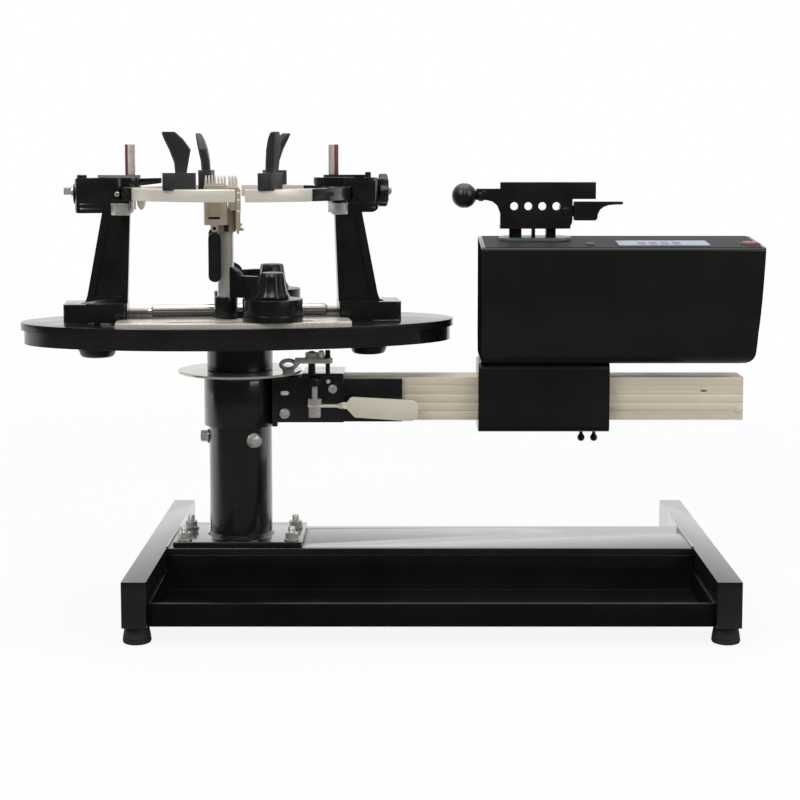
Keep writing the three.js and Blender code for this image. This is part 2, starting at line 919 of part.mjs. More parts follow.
function makeBrakeLever() {
  const top = discBottom - bracketHeadroom + brakeStudRise;
  const barTop = top - leverDrop;
  const barBottom = barTop - leverBarThickness;
  const stud = drum(brakeStudRadius, barBottom - leverHubHeight, top, smallSides);
  const nut = drum(leverHubRadius, barTop - seatGap, barTop + leverHubHeight / 2, smallSides);
  const hub = drum(leverHubRadius, barBottom - leverHubHeight, barBottom + seatGap, smallSides);
  const bar = block(
    -leverHubRadius,
    leverShankLength,
    -leverBarWidth / 2,
    leverBarWidth / 2,
    barBottom,
    barTop,
  );
  const middle = (barTop + barBottom) / 2;
  const twist = solid(
    twistedStrip(leverShankLength - seatGap, leverHandleStart + seatGap, leverBarWidth, leverBarThickness, middle),
  );
  const handle = alongY(
    roundedOutline(
      leverHandleStart,
      leverHandleEnd,
      middle - leverHandleHeight / 2,
      middle + leverHandleHeight / 2,
      leverBarWidth / 2,
    ),
    -leverHandleThickness / 2,
    leverHandleThickness / 2,
  );
  return piece("brake_lever", paleAluminium, stud, nut, hub, bar, twist, handle);
}

// A flat strip along X that turns a quarter turn about its own length
function twistedStrip(x0, x1, width, thickness, z) {
  const steps = 6;
  const depth = x1 - x0;
  const strip = new THREE.BoxGeometry(depth, width, thickness, steps, 1, 1);
  const points = strip.attributes.position;
  for (let i = 0; i < points.count; i += 1) {
    const share = points.getX(i) / depth + 0.5;
    const turn = (share * Math.PI) / 2;
    const [y, height] = [points.getY(i), points.getZ(i)];
    points.setY(i, y * Math.cos(turn) - height * Math.sin(turn));
    points.setZ(i, y * Math.sin(turn) + height * Math.cos(turn));
  }
  return strip.translate((x0 + x1) / 2, 0, z);
}

// Turntable casting, with sunk track plates, tee grooves, stud slots and pockets under it
function trackPlan(inset) {
  const rim = ellipseOutline(
    tableSemiLength - trackRimInset - inset,
    tableSemiWidth - trackRimInset - inset,
  );
  const frame = roundedOutline(
    -trackHalfLength + inset,
    trackHalfLength - inset,
    trackInner + inset,
    tableSemiWidth + trackCornerRadius,
    trackCornerRadius,
  );
  return (z0, z1) => overlap(upFrom(rim, z0, z1, tableRimSegments), upFrom(frame, z0, z1));
}

function mirrorY(made) {
  return made.mirror([0, 1, 0]);
}

function bothSides(made) {
  return [made, mirrorY(made)];
}

function studSlots() {
  const width = 2 * (lockStudRadius + runGap);
  const spans = [
    [postLeftX - postTravelOut, postLeftX + postTravelIn],
    [postRightX - postTravelIn, postRightX + postTravelOut],
  ];
  return spans.map(([x0, x1]) =>
    upFrom(slotOutline(x0 - width, x1 + width, 0, width), tableBottom - cutOverrun, tableTop + cutOverrun),
  );
}

function underPockets() {
  const rim = upFrom(
    ellipseOutline(tableSemiLength - tablePocketRim, tableSemiWidth - tablePocketRim),
    tableBottom - cutOverrun,
    tableBottom + tablePocketDepth,
    tableRimSegments,
  );
  const span = 2 * (tableSemiLength - tablePocketRim);
  const pitch = span / tablePocketColumns;
  return Array.from({ length: tablePocketColumns }, (_, i) => {
    const x0 = -span / 2 + pitch * i + tablePocketRib / 2;
    const cell = block(
      x0,
      x0 + pitch - tablePocketRib,
      tableSpineHalfWidth + tablePocketRib,
      tableSemiWidth,
      tableBottom - cutOverrun,
      tableBottom + tablePocketDepth,
    );
    return bothSides(overlap(rim, cell));
  }).flat();
}

function makeTable() {
  const lipBottom = tableTop - tableLipHeight;
  const wall = upFrom(
    ellipseOutline(tableSemiLength - tableLipOverhang, tableSemiWidth - tableLipOverhang),
    tableBottom,
    lipBottom + seatGap,
    tableRimSegments,
  );
  const lip = upFrom(ellipseOutline(tableSemiLength, tableSemiWidth), lipBottom, tableTop, tableRimSegments);
  const seats = bothSides(trackPlan(-seatGap)(tableTop - trackSink - seatGap, tableTop + cutOverrun));
  const grooves = bothSides(
    solid(
      upFrom(
        slotOutline(-trackSlotHalfLength, trackSlotHalfLength, trackSlotY, teeHeadWidth + 2 * runGap),
        tableTop - trackSink - seatGap - teeGrooveDepth,
        tableTop,
      ),
    ),
  );
  const saddle = cut(
    block(-saddleLength / 2, saddleLength / 2, -saddleWidth / 2, saddleWidth / 2, tableTop - seatGap, screwAxisZ),
    drumAlongX(screwBarrelRadius + runGap, -saddleLength, saddleLength, mediumSides).translate(0, 0, screwAxisZ),
  );
  const spindleBore = drum(spindleRadius + seatGap, tableBottom - cutOverrun, tableBottom + tablePocketDepth);
  return piece(
    "turntable_plate",
    castBlack,
    cut(join(wall, lip), seats, grooves, studSlots(), underPockets(), spindleBore),
    saddle,
  );
}

function makeTrack(name, side) {
  const bottom = tableTop - trackSink;
  const plan = trackPlan(0)(bottom, trackTop);
  const slot = upFrom(
    slotOutline(-trackSlotHalfLength, trackSlotHalfLength, trackSlotY, trackSlotWidth),
    bottom - cutOverrun,
    trackTop + cutOverrun,
  );
  const made = cut(plan, slot);
  return piece(name, paleAluminium, side < 0 ? mirrorY(made) : made);
}

function makeDriveScrew() {
  const leftEnd = postLeftX - postBaseLength / 2;
  const rightEnd = postRightX + postBaseLength / 2;
  const collars = [-1, 1].map((side) =>
    drumAlongX(screwCollarRadius, -screwCollarLength / 2, screwCollarLength / 2, mediumSides).translate(
      side * (saddleLength / 2 + runGap + screwCollarLength / 2),
      0,
      0,
    ),
  );
  const made = join(
    drumAlongX(screwBarrelRadius, -screwBarrelHalfLength, screwBarrelHalfLength, mediumSides),
    drumAlongX(screwThreadRadius, leftEnd, rightEnd),
    collars,
  );
  return piece("drive_screw", polishedSteel, made.translate([0, 0, screwAxisZ]));
}

// Posts: drawn for the right side with x measured from the post's middle, outwards positive
function onSide(side, x, made) {
  return (side < 0 ? made.mirror([1, 0, 0]) : made).translate([x, 0, 0]);
}

function bladeOutline() {
  const inner = -postBaseLength / 2;
  const foot = postBaseTop - seatGap;
  const head = postHeadBottom + seatGap;
  const topInner = inner + postBladeInset - postBladeLean;
  const shape = new THREE.Shape();
  shape.moveTo(inner, foot);
  shape.lineTo(topInner, head);
  shape.lineTo(topInner + postBladeTop, head);
  shape.lineTo(inner + postBladeBottom, foot + postBladeFillet);
  shape.quadraticCurveTo(inner + postBladeBottom, foot, inner + postBladeBottom + postBladeFillet, foot);
  return shape;
}

function panelOutline() {
  const inner = -postBaseLength / 2;
  const foot = postBaseTop + postPanelMargin;
  const head = postHeadBottom - postPanelMargin;
  const topInner = inner + postBladeInset - postBladeLean;
  return outline([
    [inner + postPanelMargin, foot],
    [topInner + postPanelMargin, head],
    [topInner + postBladeTop - postPanelMargin, head],
    [inner + postBladeBottom - postPanelMargin, foot],
  ]);
}

function headSpan(side) {
  const x0 = -postBaseLength / 2 + postHeadInset;
  return [x0, x0 + (side < 0 ? postHeadLengthLeft : postHeadLengthRight)];
}

function makePost(name, side, x) {
  const baseBottom = tableTop + seatGap;
  const halfBase = postBaseWidth / 2;
  const base = upFrom(
    roundedOutline(-postBaseLength / 2, postBaseLength / 2, -halfBase, halfBase, postBladeFillet / 2),
    baseBottom,
    postBaseTop,
  );
  const blade = alongY(bladeOutline(), -postBladeThickness / 2, postBladeThickness / 2);
  const panels = [-1, 1].map((face) =>
    alongY(
      panelOutline(),
      (face * postBladeThickness) / 2 - postPanelDepth,
      (face * postBladeThickness) / 2 + postPanelDepth,
    ),
  );
  const [headInner, headOuter] = headSpan(side);
  const headHalf = postHeadWidth / 2;
  const shelfInner = headInner - (side < 0 ? postShelfLeft : postShelfRight);
  const shelf = upFrom(
    slotOutline(shelfInner, headOuter - headHalf, 0, postShelfWidth),
    yokeTop + seatGap,
    postHeadTop,
  );
  const head = join(
    overlap(
      upFrom(
        roundedOutline(headInner, headOuter, -headHalf, headHalf, postHeadRound),
        postHeadBottom,
        postHeadTop,
        1,
      ),
      alongY(
        roundedOutline(headInner, headOuter, postHeadBottom, postHeadTop, postHeadRound / 2),
        -headHalf,
        headHalf,
        1,
      ),
    ),
    shelf,
  );
  const rootHalf = yokeRootWidth / 2 + seatGap;
  const rootSlot = block(
    headInner - cutOverrun,
    headInner + yokeRootLength + seatGap,
    -rootHalf,
    rootHalf,
    yokeBottom - seatGap,
    yokeTop + seatGap,
  );
  const ringSlot = block(
    headInner - cutOverrun,
    yokeRadius + yokeWidth / 2 - Math.abs(x) + runGap,
    -headHalf - cutOverrun,
    headHalf + cutOverrun,
    yokeBottom - seatGap,
    yokeTop + seatGap,
  );
  const yokeSlot = side < 0 ? rootSlot : [rootSlot, ringSlot];
  const lugHalf = pegLugWidth / 2 + seatGap;
  const lugSlot = block(
    headInner + pegLugInset - pegLugLength / 2 - pegTravelIn - 2 * seatGap,
    headInner + pegLugInset + pegLugLength / 2 + pegTravelOut + 2 * seatGap,
    -lugHalf,
    lugHalf,
    pegScrewZ - pegScrewRadius - 2 * seatGap,
    postHeadTop + cutOverrun,
  );
  const screwBore = drumAlongX(pegScrewRadius + seatGap, headInner - cutOverrun, headOuter + cutOverrun).translate(
    0,
    0,
    pegScrewZ,
  );
  const driveBore = drumAlongX(screwThreadRadius + runGap, -postBaseLength, postBaseLength).translate(
    0,
    0,
    screwAxisZ,
  );
  const studBore = drum(
    lockStudRadius + runGap,
    baseBottom - cutOverrun,
    baseBottom + lockStudGrip / 2 + seatGap,
    smallSides,
  );
  const made = cut(
    join(cut(join(base, blade), panels), cut(head, yokeSlot, lugSlot, screwBore)),
    driveBore,
    studBore,
  );
  return piece(name, castBlack, onSide(side, x, made));
}

function makeLockKnob(name, x) {
  const top = tableBottom - seatGap;
  const bottom = top - lockKnobHeight;
  const rounding = lockKnobRound * (1 - Math.SQRT1_2);
  const knob = revolve([
    [0, bottom],
    [lockKnobRadius - lockKnobRound, bottom],
    [lockKnobRadius - rounding, bottom + rounding],
    [lockKnobRadius, bottom + lockKnobRound],
    [lockKnobRadius, top],
    [0, top],
  ]);
  const stud = drum(lockStudRadius, top - seatGap, tableTop + seatGap + lockStudGrip / 2, smallSides);
  return piece(name, knobPlastic, join(knob, stud).translate([x, 0, 0]));
}

// Yokes: a half ring on each post, with its root in the slot of the post's head
function makeYoke(name, side, x) {
  const inner = yokeRadius - yokeWidth / 2;
  const outer = yokeRadius + yokeWidth / 2;
  const ring = cut(
    drum(outer, yokeBottom, yokeTop, rimSides),
    drum(inner, yokeBottom - cutOverrun, yokeTop + cutOverrun, rimSides),
  );
  const halfRing = overlap(
    ring,
    block(yokeTipGap / 2, outer + cutOverrun, -outer, outer, yokeBottom, yokeTop),
  );
  const [headInner] = headSpan(side);
  const rootStart = yokeRadius;
  const rootEnd = x * side + headInner + yokeRootLength;
  const rootHalf = yokeRootWidth / 2;
  const root = upFrom(
    roundedOutline(rootStart, rootEnd, -rootHalf, rootHalf, seatGap),
    yokeBottom,
    yokeTop,
  );
  const flange = upFrom(
    roundedOutline(
      yokeRadius - yokeWidth,
      x * side + headInner - seatGap,
      -yokeFlangeHalfWidth,
      yokeFlangeHalfWidth,
      yokeFlangeRound,
    ),
    yokeBottom,
    yokeTop,
  );
  const flangeBeyondRing = cut(
    flange,
    drum(yokeRadius, yokeBottom - cutOverrun, yokeTop + cutOverrun, rimSides),
  );
  const lugHalf = pegLugWidth / 2 + seatGap;
  const groove = block(
    inner - cutOverrun,
    rootEnd + cutOverrun,
    -lugHalf,
    lugHalf,
    pegScrewZ - pegScrewRadius - 2 * seatGap,
    yokeTop + cutOverrun,
  );
  const boltY = postHeadWidth / 2 + yokeBoltRadius + yokeBoltClearance;
  const boltX = x * side + headInner - yokeBoltInset;
  const bolts = [-1, 1].map((end) =>
    hexagon(2 * yokeBoltRadius, yokeBottom - yokeBoltHeight, yokeBottom + seatGap).translate(boltX, end * boltY, 0),
  );
  const made = join(cut(join(halfRing, root, flangeBeyondRing), groove), bolts);
  return piece(name, paleAluminium, side < 0 ? made.mirror([1, 0, 0]) : made);
}

// Head pegs: a slide plate on the post's head with a finger and a lug that the screw passes through
function makePeg(name, side, x) {
  const [headInner] = headSpan(side);
  const lugX = headInner + pegLugInset;
  const slideBottom = postHeadTop + seatGap;
  const slideTop = slideBottom + pegPlateThickness;
  const plateInner = headInner - pegPlateOverhang;
  const plate = block(
    plateInner,
    plateInner + pegPlateLength,
    -pegPlateWidth / 2,
    pegPlateWidth / 2,
    slideBottom,
    slideTop,
  );
  const lug = cut(
    block(
      lugX - pegLugLength / 2,
      lugX + pegLugLength / 2,
      -pegLugWidth / 2,
      pegLugWidth / 2,
      pegScrewZ - pegScrewRadius - seatGap,
      slideBottom + seatGap,
    ),
    drumAlongX(pegScrewRadius + runGap, lugX - pegLugLength, lugX + pegLugLength).translate(0, 0, pegScrewZ),
  );
  const fingerX = plateInner + pegFingerInset;
  const finger = upFrom(
    roundedOutline(
      fingerX,
      fingerX + pegFingerLength,
      -pegFingerWidth / 2,
      pegFingerWidth / 2,
      pegFingerRound,
    ),
    slideBottom,
    slideTop + pegFingerHeight,
  );
  const made = join(plate, lug, finger);
  return piece(name, clearPlastic, onSide(side, x, made));
}

function makePegScrew(name, side, x) {
  const [headInner, headOuter] = headSpan(side);
  const start = headInner + pegLugInset - pegLugLength;
  const knobStart = headOuter + runGap;
  const shaft = drumAlongX(pegScrewRadius, start, knobStart + seatGap);
  let grip;
  if (side > 0) {
    const scallops = Array.from({ length: starKnobLobes }, (_, i) => {
      const turn = (2 * Math.PI * i) / starKnobLobes;
      return drumAlongX(starKnobScallop, knobStart - cutOverrun, knobStart + starKnobThickness + cutOverrun).translate(
        0,
        starKnobRadius * Math.cos(turn),
        starKnobRadius * Math.sin(turn),
      );
    });
    grip = join(
      cut(drumAlongX(starKnobRadius, knobStart, knobStart + starKnobThickness, mediumSides), scallops),
      drumAlongX(
        2 * pegScrewRadius,
        knobStart + starKnobThickness - seatGap,
        knobStart + starKnobThickness + starTipLength,
      ),
    );
  } else {
    const half = squareEndSize / 2;
    grip = join(
      drumAlongX(2 * pegScrewRadius, knobStart, knobStart + starTipLength),
      block(
        knobStart + starTipLength - seatGap,
        knobStart + starTipLength + squareEndLength,
        -half,
        half,
        -half,
        half,
      ),
    );
  }
  const made = join(shaft, grip).translate([0, 0, pegScrewZ]);
  const material = side > 0 ? knobPlastic : zincSteel;
  return piece(name, material, onSide(side, x, made));
}

// Side claws. The fin's sections, from the block up: height share, inner and outer end, thickness
const finShares = [
  [0, -0.23, 0.45, 1],
  [0.26, -0.29, 0.57, 1],
  [0.57, -0.57, 0.72, 0.95],
  [0.82, -0.86, 0.29, 0.8],
  [0.96, -0.98, -0.08, 0.6],
  [1, -0.93, -0.2, 0.4],
];
const finChamferShare = 0.25;

function makeFin(bottom) {
  const half = clawBlockLength / 2;
  const rings = finShares.map(([heightShare, startShare, endShare, thicknessShare]) => {
    const z = bottom + clawFinHeight * heightShare;
    const u0 = half * startShare;
    const u1 = half * endShare;
    const reach = (clawFinThickness * thicknessShare) / 2;
    const chamfer = 2 * reach * finChamferShare;
    const middle = -clawFinLean * heightShare * heightShare;
    return [
      [u0 + chamfer, middle - reach, z],
      [u1 - chamfer, middle - reach, z],
      [u1, middle - reach + chamfer, z],
      [u1, middle + reach - chamfer, z],
      [u1 - chamfer, middle + reach, z],
      [u0 + chamfer, middle + reach, z],
      [u0, middle + reach - chamfer, z],
      [u0, middle - reach + chamfer, z],
    ];
  });
  return loft(rings);
}

function ringWall(inner, outer, z0, z1) {
  return cut(drum(outer, z0, z1, rimSides), drum(inner, z0 - cutOverrun, z1 + cutOverrun, rimSides));
}

function makeClaw(name, x, ySide, turn) {
  const place = [x, ySide * Math.sqrt(yokeRadius * yokeRadius - x * x), 0];
  const bottom = yokeTop + runGap;
  const halfWidth = clawBlockWidth / 2;
  const plan = roundedOutline(
    -clawBlockLength / 2,
    clawBlockLength / 2,
    -halfWidth,
    halfWidth,
    clawBlockRound,
  );
  const settle = (made) => asSolid(made).rotate([0, 0, turn]).translate(place);
  const seat = settle(upFrom(plan, bottom, bottom + clawBlockHeight, 1));
  const column = settle(upFrom(plan, yokeBottom, bottom + seatGap, 1));
  const innerEdge = yokeRadius - yokeWidth / 2 - runGap;
  const outerEdge = yokeRadius + yokeWidth / 2 + runGap;
  const cheek = ringWall(innerEdge - clawCheekThickness, innerEdge, yokeTop - clawCheekDrop, bottom + seatGap);
  const lip = ringWall(outerEdge, outerEdge + clawCheekThickness, yokeTop - clawLipDrop, bottom + seatGap);
  return piece(
    name,
    darkPlastic,
    seat,
    settle(makeFin(bottom + clawBlockHeight - seatGap)),
    overlap(column, cheek),
    overlap(column, lip),
  );
}

// String clamps: drawn in their own frame, base axis at the origin and +X towards the clamp post
function makeClampBase(name) {
  const bottom = trackTop + runGap;
  const disc = drum(clampBaseRadius, bottom, bottom + clampBaseHeight, largeSides);
  const stemRadius = trackSlotWidth / 2 - runGap;
  const headTop = tableTop - trackSink - runGap;
  const stem = drum(stemRadius, headTop - seatGap, bottom + seatGap, smallSides);
  const head = drum(teeHeadWidth / 2, headTop - teeHeadHeight, headTop, smallSides);
  return piece(name, castBlack, disc, stem, head);
}

function clampDrumBottom() {
  return trackTop + runGap + clampBaseHeight + runGap;
}

function makeClampArm(name, reach) {
  const bottom = clampDrumBottom();
  const top = bottom + clampDrumHeight;
  const body = drum(clampBaseRadius, bottom, top, largeSides);
  const webStart = clampKnobSkirtRadius + runGap;
  const webEnd = reach - clampRodRadius / 2;
  const shape = new THREE.Shape();
  shape.moveTo(webStart, top - seatGap);
  shape.lineTo(webEnd, top - seatGap);
  shape.lineTo(webEnd, top + clampWebHeight + clampWebRise);
  shape.quadraticCurveTo(
    webEnd - clampWebHollow,
    top + clampWebHeight + clampWebRise / 2,
    webEnd - clampWebHollow,
    top + clampWebHeight,
  );
  shape.lineTo(webStart, top + clampWebHeight);
  const web = alongY(shape, -clampWebThickness / 2, clampWebThickness / 2, 4);
  const socket = drum(clampSocketRadius, clampSocketBottom, top, mediumSides).translate(reach, 0, 0);
  const bore = drum(
    clampRodRadius + runGap,
    clampSocketBottom - cutOverrun,
    top + clampWebHeight + clampWebRise + cutOverrun,
    mediumSides,
  ).translate(reach, 0, 0);
  return piece(name, castBlack, cut(join(body, web, socket), bore));
}

function makeClampKnob(name) {
  const bottom = clampDrumBottom() + clampDrumHeight + runGap;
  const skirtTop = bottom + clampKnobSkirtHeight;
  const top = bottom + clampKnobHeight;
  const body = revolve([
    [0, bottom],
    [clampKnobSkirtRadius, bottom],
    [clampKnobSkirtRadius, skirtTop],
    [clampKnobTopRadius + clampKnobFluteRadius, skirtTop + clampKnobFluteRadius],
    [clampKnobTopRadius, top - clampKnobFluteRadius],
    [clampKnobTopRadius - clampKnobFluteRadius, top],
    [0, top],
  ]);
  const flutes = Array.from({ length: clampKnobFlutes }, (_, i) => {
    const turn = (2 * Math.PI * i) / clampKnobFlutes;
    const centre = clampKnobSkirtRadius + clampKnobFluteRadius / 2;
    return drum(clampKnobFluteRadius, bottom - cutOverrun, skirtTop + cutOverrun, hexSides).translate(
      centre * Math.cos(turn),
      centre * Math.sin(turn),
      0,
    );
  });
  return piece(name, knobPlastic, cut(body, flutes));
}

function makeClampRod(name) {
  return piece(name, polishedSteel, drum(clampRodRadius, clampSocketBottom, clampRodTop, mediumSides));
}

function toothRow(x0, x1, from) {
  return Array.from({ length: clampToothCount }, (_, i) => {
    const y = (clampHeadOuter - clampHeadInner) / 2 + (i - (clampToothCount - 1) / 2) * clampToothPitch;
    const half = clampToothThickness / 2;
    return block(x0, x1, y - half, y + half, from - seatGap, from + clampToothHeight);
  });
}

// The clamp's head is drawn with its outer side towards +Y, and turned over for the front clamp
function handed(side, made) {
  return side < 0 ? mirrorY(asSolid(made)) : made;
}

function leverX() {
  return clampHeadShift - clampLeverOffset;
}

function makeClampHead(name, side) {
  const top = clampHeadBottom + clampHeadHeight;
  const x1 = clampHeadShift + clampHeadLength / 2;
  const body = upFrom(
    roundedOutline(x1 - clampHeadLength, x1, -clampHeadInner, clampHeadOuter, clampHeadRound),
    clampHeadBottom,
    top,
    1,
  );
  const sleeveBottom = clampHeadBottom - clampSleeveDrop;
  const sleeve = drum(clampSleeveRadius, sleeveBottom, clampRodTop + cutOverrun, mediumSides);
  const bore = drum(clampRodRadius + runGap, sleeveBottom - cutOverrun, clampRodTop + runGap, mediumSides);
  const jawRoom = block(
    x1,
    x1 + clampHeadLength,
    -clampHeadOuter,
    clampHeadOuter,
    top - clampJawHeight - runGap,
    top + cutOverrun,
  );
  const pivotZ = clampHeadBottom - clampLeverPivotDrop;
  const ears = [-1, 1].map((end) => {
    const middle = clampLeverFromRod + (end * (clampLeverTongue + clampEarThickness + 2 * runGap)) / 2;
    const [y0, y1] = [middle - clampEarThickness / 2, middle + clampEarThickness / 2];
    return join(
      drumAlongY(clampEarRadius, y0, y1).translate(leverX(), 0, pivotZ),
      block(leverX() - clampEarRadius, leverX() + clampEarRadius, y0, y1, pivotZ, clampHeadBottom + seatGap),
    );
  });
  const pinBore = drumAlongY(clampLeverPinRadius + runGap, 0, clampHeadOuter + cutOverrun).translate(
    leverX(),
    0,
    pivotZ,
  );
  const teeth = toothRow(x1 - clampToothLength, x1 - seatGap, top);
  return piece(name, zincSteel, handed(side, join(cut(join(body, sleeve, ears), bore, jawRoom, pinBore), teeth)));
}

function makeClampJaw(name, side) {
  const top = clampHeadBottom + clampHeadHeight;
  const x0 = clampHeadShift + clampHeadLength / 2 + clampJawGap;
  const x1 = x0 + clampJawThickness;
  const step = top - clampJawHeight;
  const tail = step - clampJawTail;
  const plate = alongY(
    outline([
      [x0, step],
      [x1 - clampJawTailThickness, step],
      [x1 - clampJawTailThickness, tail],
      [x1 - clampJawTailTaper, tail],
      [x1, step],
      [x1, top - clampJawChamfer],
      [x1 - clampJawChamfer, top],
      [x0, top],
    ]),
    -clampHeadInner,
    clampHeadOuter,
  );
  return piece(name, zincSteel, handed(side, join(plate, toothRow(x0, x0 + clampToothLength, top))));
}

function makeClampLever(name, side) {
  const x = leverX();
  const pivotZ = clampHeadBottom - clampLeverPivotDrop;
  const handleTop = clampHeadBottom - clampLeverDrop;
  const y0 = clampLeverFromRod - clampLeverThickness / 2;
  const y1 = clampLeverFromRod + clampLeverThickness / 2;
  const tongueHalf = clampLeverTongue / 2;
  const handle = alongY(
    roundedOutline(
      x - clampLeverWidth / 2,
      x + clampLeverWidth / 2,
      handleTop - clampLeverLength,
      handleTop,
      clampLeverWidth / 2 - seatGap,
    ),
    y0,
    y1,
    4,
  );
  const tongue = block(
    x - clampLeverEye,
    x + clampLeverEye,
    clampLeverFromRod - tongueHalf,
    clampLeverFromRod + tongueHalf,
    handleTop - seatGap,
    pivotZ,
  );
  const eye = drumAlongY(clampLeverEye, clampLeverFromRod - tongueHalf, clampLeverFromRod + tongueHalf);
  const pin = drumAlongY(clampLeverPinRadius, y0, y1);
  return piece(
    name,
    knobPlastic,
    handed(side, join(handle, tongue, ...[eye, pin].map((part) => part.translate(x, 0, pivotZ)))),
  );
}

function makeClamp(end, side, baseX) {
  const baseY = side * trackSlotY;
  const postY = side * clampPostY;
  const reach = Math.hypot(clampPostX - baseX, postY - baseY);
  const turn = Math.atan2(postY - baseY, clampPostX - baseX);
  const prefix = `${end}_clamp`;
  const base = group([makeClampBase(`${prefix}_base`), makeClampKnob(`${prefix}_knob`)], { x: baseX, y: baseY });
  const arm = group([makeClampArm(`${prefix}_arm`, reach)], { x: baseX, y: baseY, turn });
  const head = group(
    [
      makeClampRod(`${prefix}_post`),
      makeClampHead(`${prefix}_head`, side),
      makeClampJaw(`${prefix}_jaw`, side),
      makeClampLever(`${prefix}_lever`, side),
    ],
    { x: clampPostX, y: postY },
  );
  return [base, arm, head];
}

// Tension unit: the carriage that grips the rail, with two lock screws under it
function makeCarriage() {
  const section = roundedOutline(
    -carriageHalfWidth,
    carriageHalfWidth,
    carriageBottom,
    carriageTop,
    carriageRound,
  );
  const body = alongX(section, carriageStart, carriageEnd, 4);
  const railHalf = railWidth / 2 + runGap;
  const passage = block(
    carriageStart - cutOverrun,
    carriageEnd + cutOverrun,
    -railHalf,
    railHalf,
    railBottom - runGap,
    railTop + runGap,
  );
  const screwHoles = lockScrewPlaces().map((x) =>
    drum(lockScrewRadius / 2 + seatGap, carriageBottom - cutOverrun, railBottom, smallSides).translate(x, 0, 0),
  );
  return piece("rail_carriage", glossBlack, cut(body, passage, screwHoles));
}

function lockScrewPlaces() {
  return [-1, 1].map((side) => carriageEnd - lockScrewInset + (side * lockScrewSpacing) / 2);
}

function makeLockScrew(name, x) {
  const head = new THREE.SphereGeometry(lockScrewHeadRadius, smallSides, smallSides / 2)
    .rotateX(Math.PI / 2)
    .translate(0, 0, carriageBottom - seatGap - lockScrewHeadHeight + lockScrewHeadRadius);
  const shaft = drum(
    lockScrewRadius / 2,
    carriageBottom - seatGap - lockScrewHeadHeight + lockScrewHeadRadius,
    railBottom - runGap,
    smallSides,
  );
  return piece(name, knobPlastic, join(head, shaft).translate([x, 0, 0]));
}

// Tension unit: the moulded housing, its slot, keypad, buttons and inlet
const housingSlope = Math.atan2(housingRearHeight - housingFrontHeight, housingRearY - housingFrontY);
const topFrame = new THREE.Matrix4()
  .makeTranslation(housingStart, housingFrontY, housingBottom + housingFrontHeight)
  .multiply(new THREE.Matrix4().makeRotationX(housingSlope));

function onTop(geometry) {
  return geometry.applyMatrix4(topFrame);
}

function housingSection() {
  const front = housingFrontY;
  const rear = housingRearY;
  const frontTop = housingBottom + housingFrontHeight;
  const rearTop = housingBottom + housingRearHeight;
  const shape = new THREE.Shape();
  shape.moveTo(-carriageHalfWidth, housingBottom);
  shape.lineTo(carriageHalfWidth, housingBottom);
  shape.quadraticCurveTo(rear, housingBottom, rear, housingBottom + housingUnderCurve);
  const roundRise = housingTopRound * Math.tan(housingSlope);
  shape.lineTo(rear, rearTop - housingTopRound);
  shape.quadraticCurveTo(rear, rearTop, rear - housingTopRound, rearTop - roundRise);
  shape.lineTo(front + housingTopRound, frontTop + roundRise);
  shape.quadraticCurveTo(front, frontTop, front, frontTop - housingTopRound);
  shape.quadraticCurveTo(
    front - 2 * housingBulge,
    housingBottom + housingFrontHeight / 2,
    front,
    housingBottom + housingUnderCurve,
  );
  shape.quadraticCurveTo(front, housingBottom, -carriageHalfWidth, housingBottom);
  return shape;
}

function housingElevation() {
  const top = housingBottom + Math.max(housingFrontHeight, housingRearHeight) + cutOverrun;
  const shape = new THREE.Shape();
  shape.moveTo(housingStart, housingBottom - cutOverrun);
  shape.lineTo(housingStart, top);
  shape.lineTo(housingEnd, top);
  shape.lineTo(housingEnd - housingEndSlant, housingBottom + housingEndRound);
  shape.quadraticCurveTo(
    housingEnd - housingEndSlant,
    housingBottom,
    housingEnd - housingEndSlant - housingEndRound,
    housingBottom,
  );
  shape.lineTo(carriageEnd, housingBottom - cutOverrun);
  return shape;
}

function makeHousing() {
  const body = overlap(
    alongX(housingSection(), housingStart, housingEnd, 6),
    alongY(housingElevation(), 2 * housingFrontY, 2 * housingRearY, 5),
  );
  const slot = onTop(
    upFrom(
      slotOutline(slotStart, slotStart + slotLength, slotFromFront, slotWidth),
      -slotDepth,
      housingTopRound,
    ),
  );
  const inletPocket = block(
    housingStart + inletX - inletWidth / 2,
    housingStart + inletX + inletWidth / 2,
    housingRearY - inletDepth,
    housingRearY + cutOverrun,
    housingBottom + inletRise - inletHeight / 2,
    housingBottom + inletRise + inletHeight / 2,
  );
  const buttonWell = onTop(
    drum(stopButtonRadius + runGap, -stopButtonHeight, stopButtonHeight).translate(
      stopButtonX,
      stopButtonFromFront,
      0,
    ),
  );
  const switchWell = onTop(
    block(
      switchX - switchLength / 2 - 2 * runGap,
      switchX + switchLength / 2 + 2 * runGap,
      switchFromFront - switchWidth / 2 - 2 * runGap,
      switchFromFront + switchWidth / 2 + 2 * runGap,
      -switchHoleDepth,
      switchHoleDepth,
    ),
  );
  return piece("tension_housing", glossBlack, cut(body, slot, inletPocket, buttonWell, switchWell));
}

function makeInlet() {
  const x = housingStart + inletX;
  const z = housingBottom + inletRise;
  const halfWidth = inletWidth / 2 - seatGap;
  const halfHeight = inletHeight / 2 - seatGap;
  const shell = cut(
    block(
      x - halfWidth,
      x + halfWidth,
      housingRearY - inletDepth + seatGap,
      housingRearY + seatGap,
      z - halfHeight,
      z + halfHeight,
    ),
    block(
      x - halfWidth + inletFlange,
      x + halfWidth - inletFlange,
      housingRearY - inletDepth + seatGap + inletFloor,
      housingRearY + cutOverrun,
      z - halfHeight + inletFlange,
      z + halfHeight - inletFlange,
    ),
  );
  return piece("power_inlet", darkPlastic, shell);
}

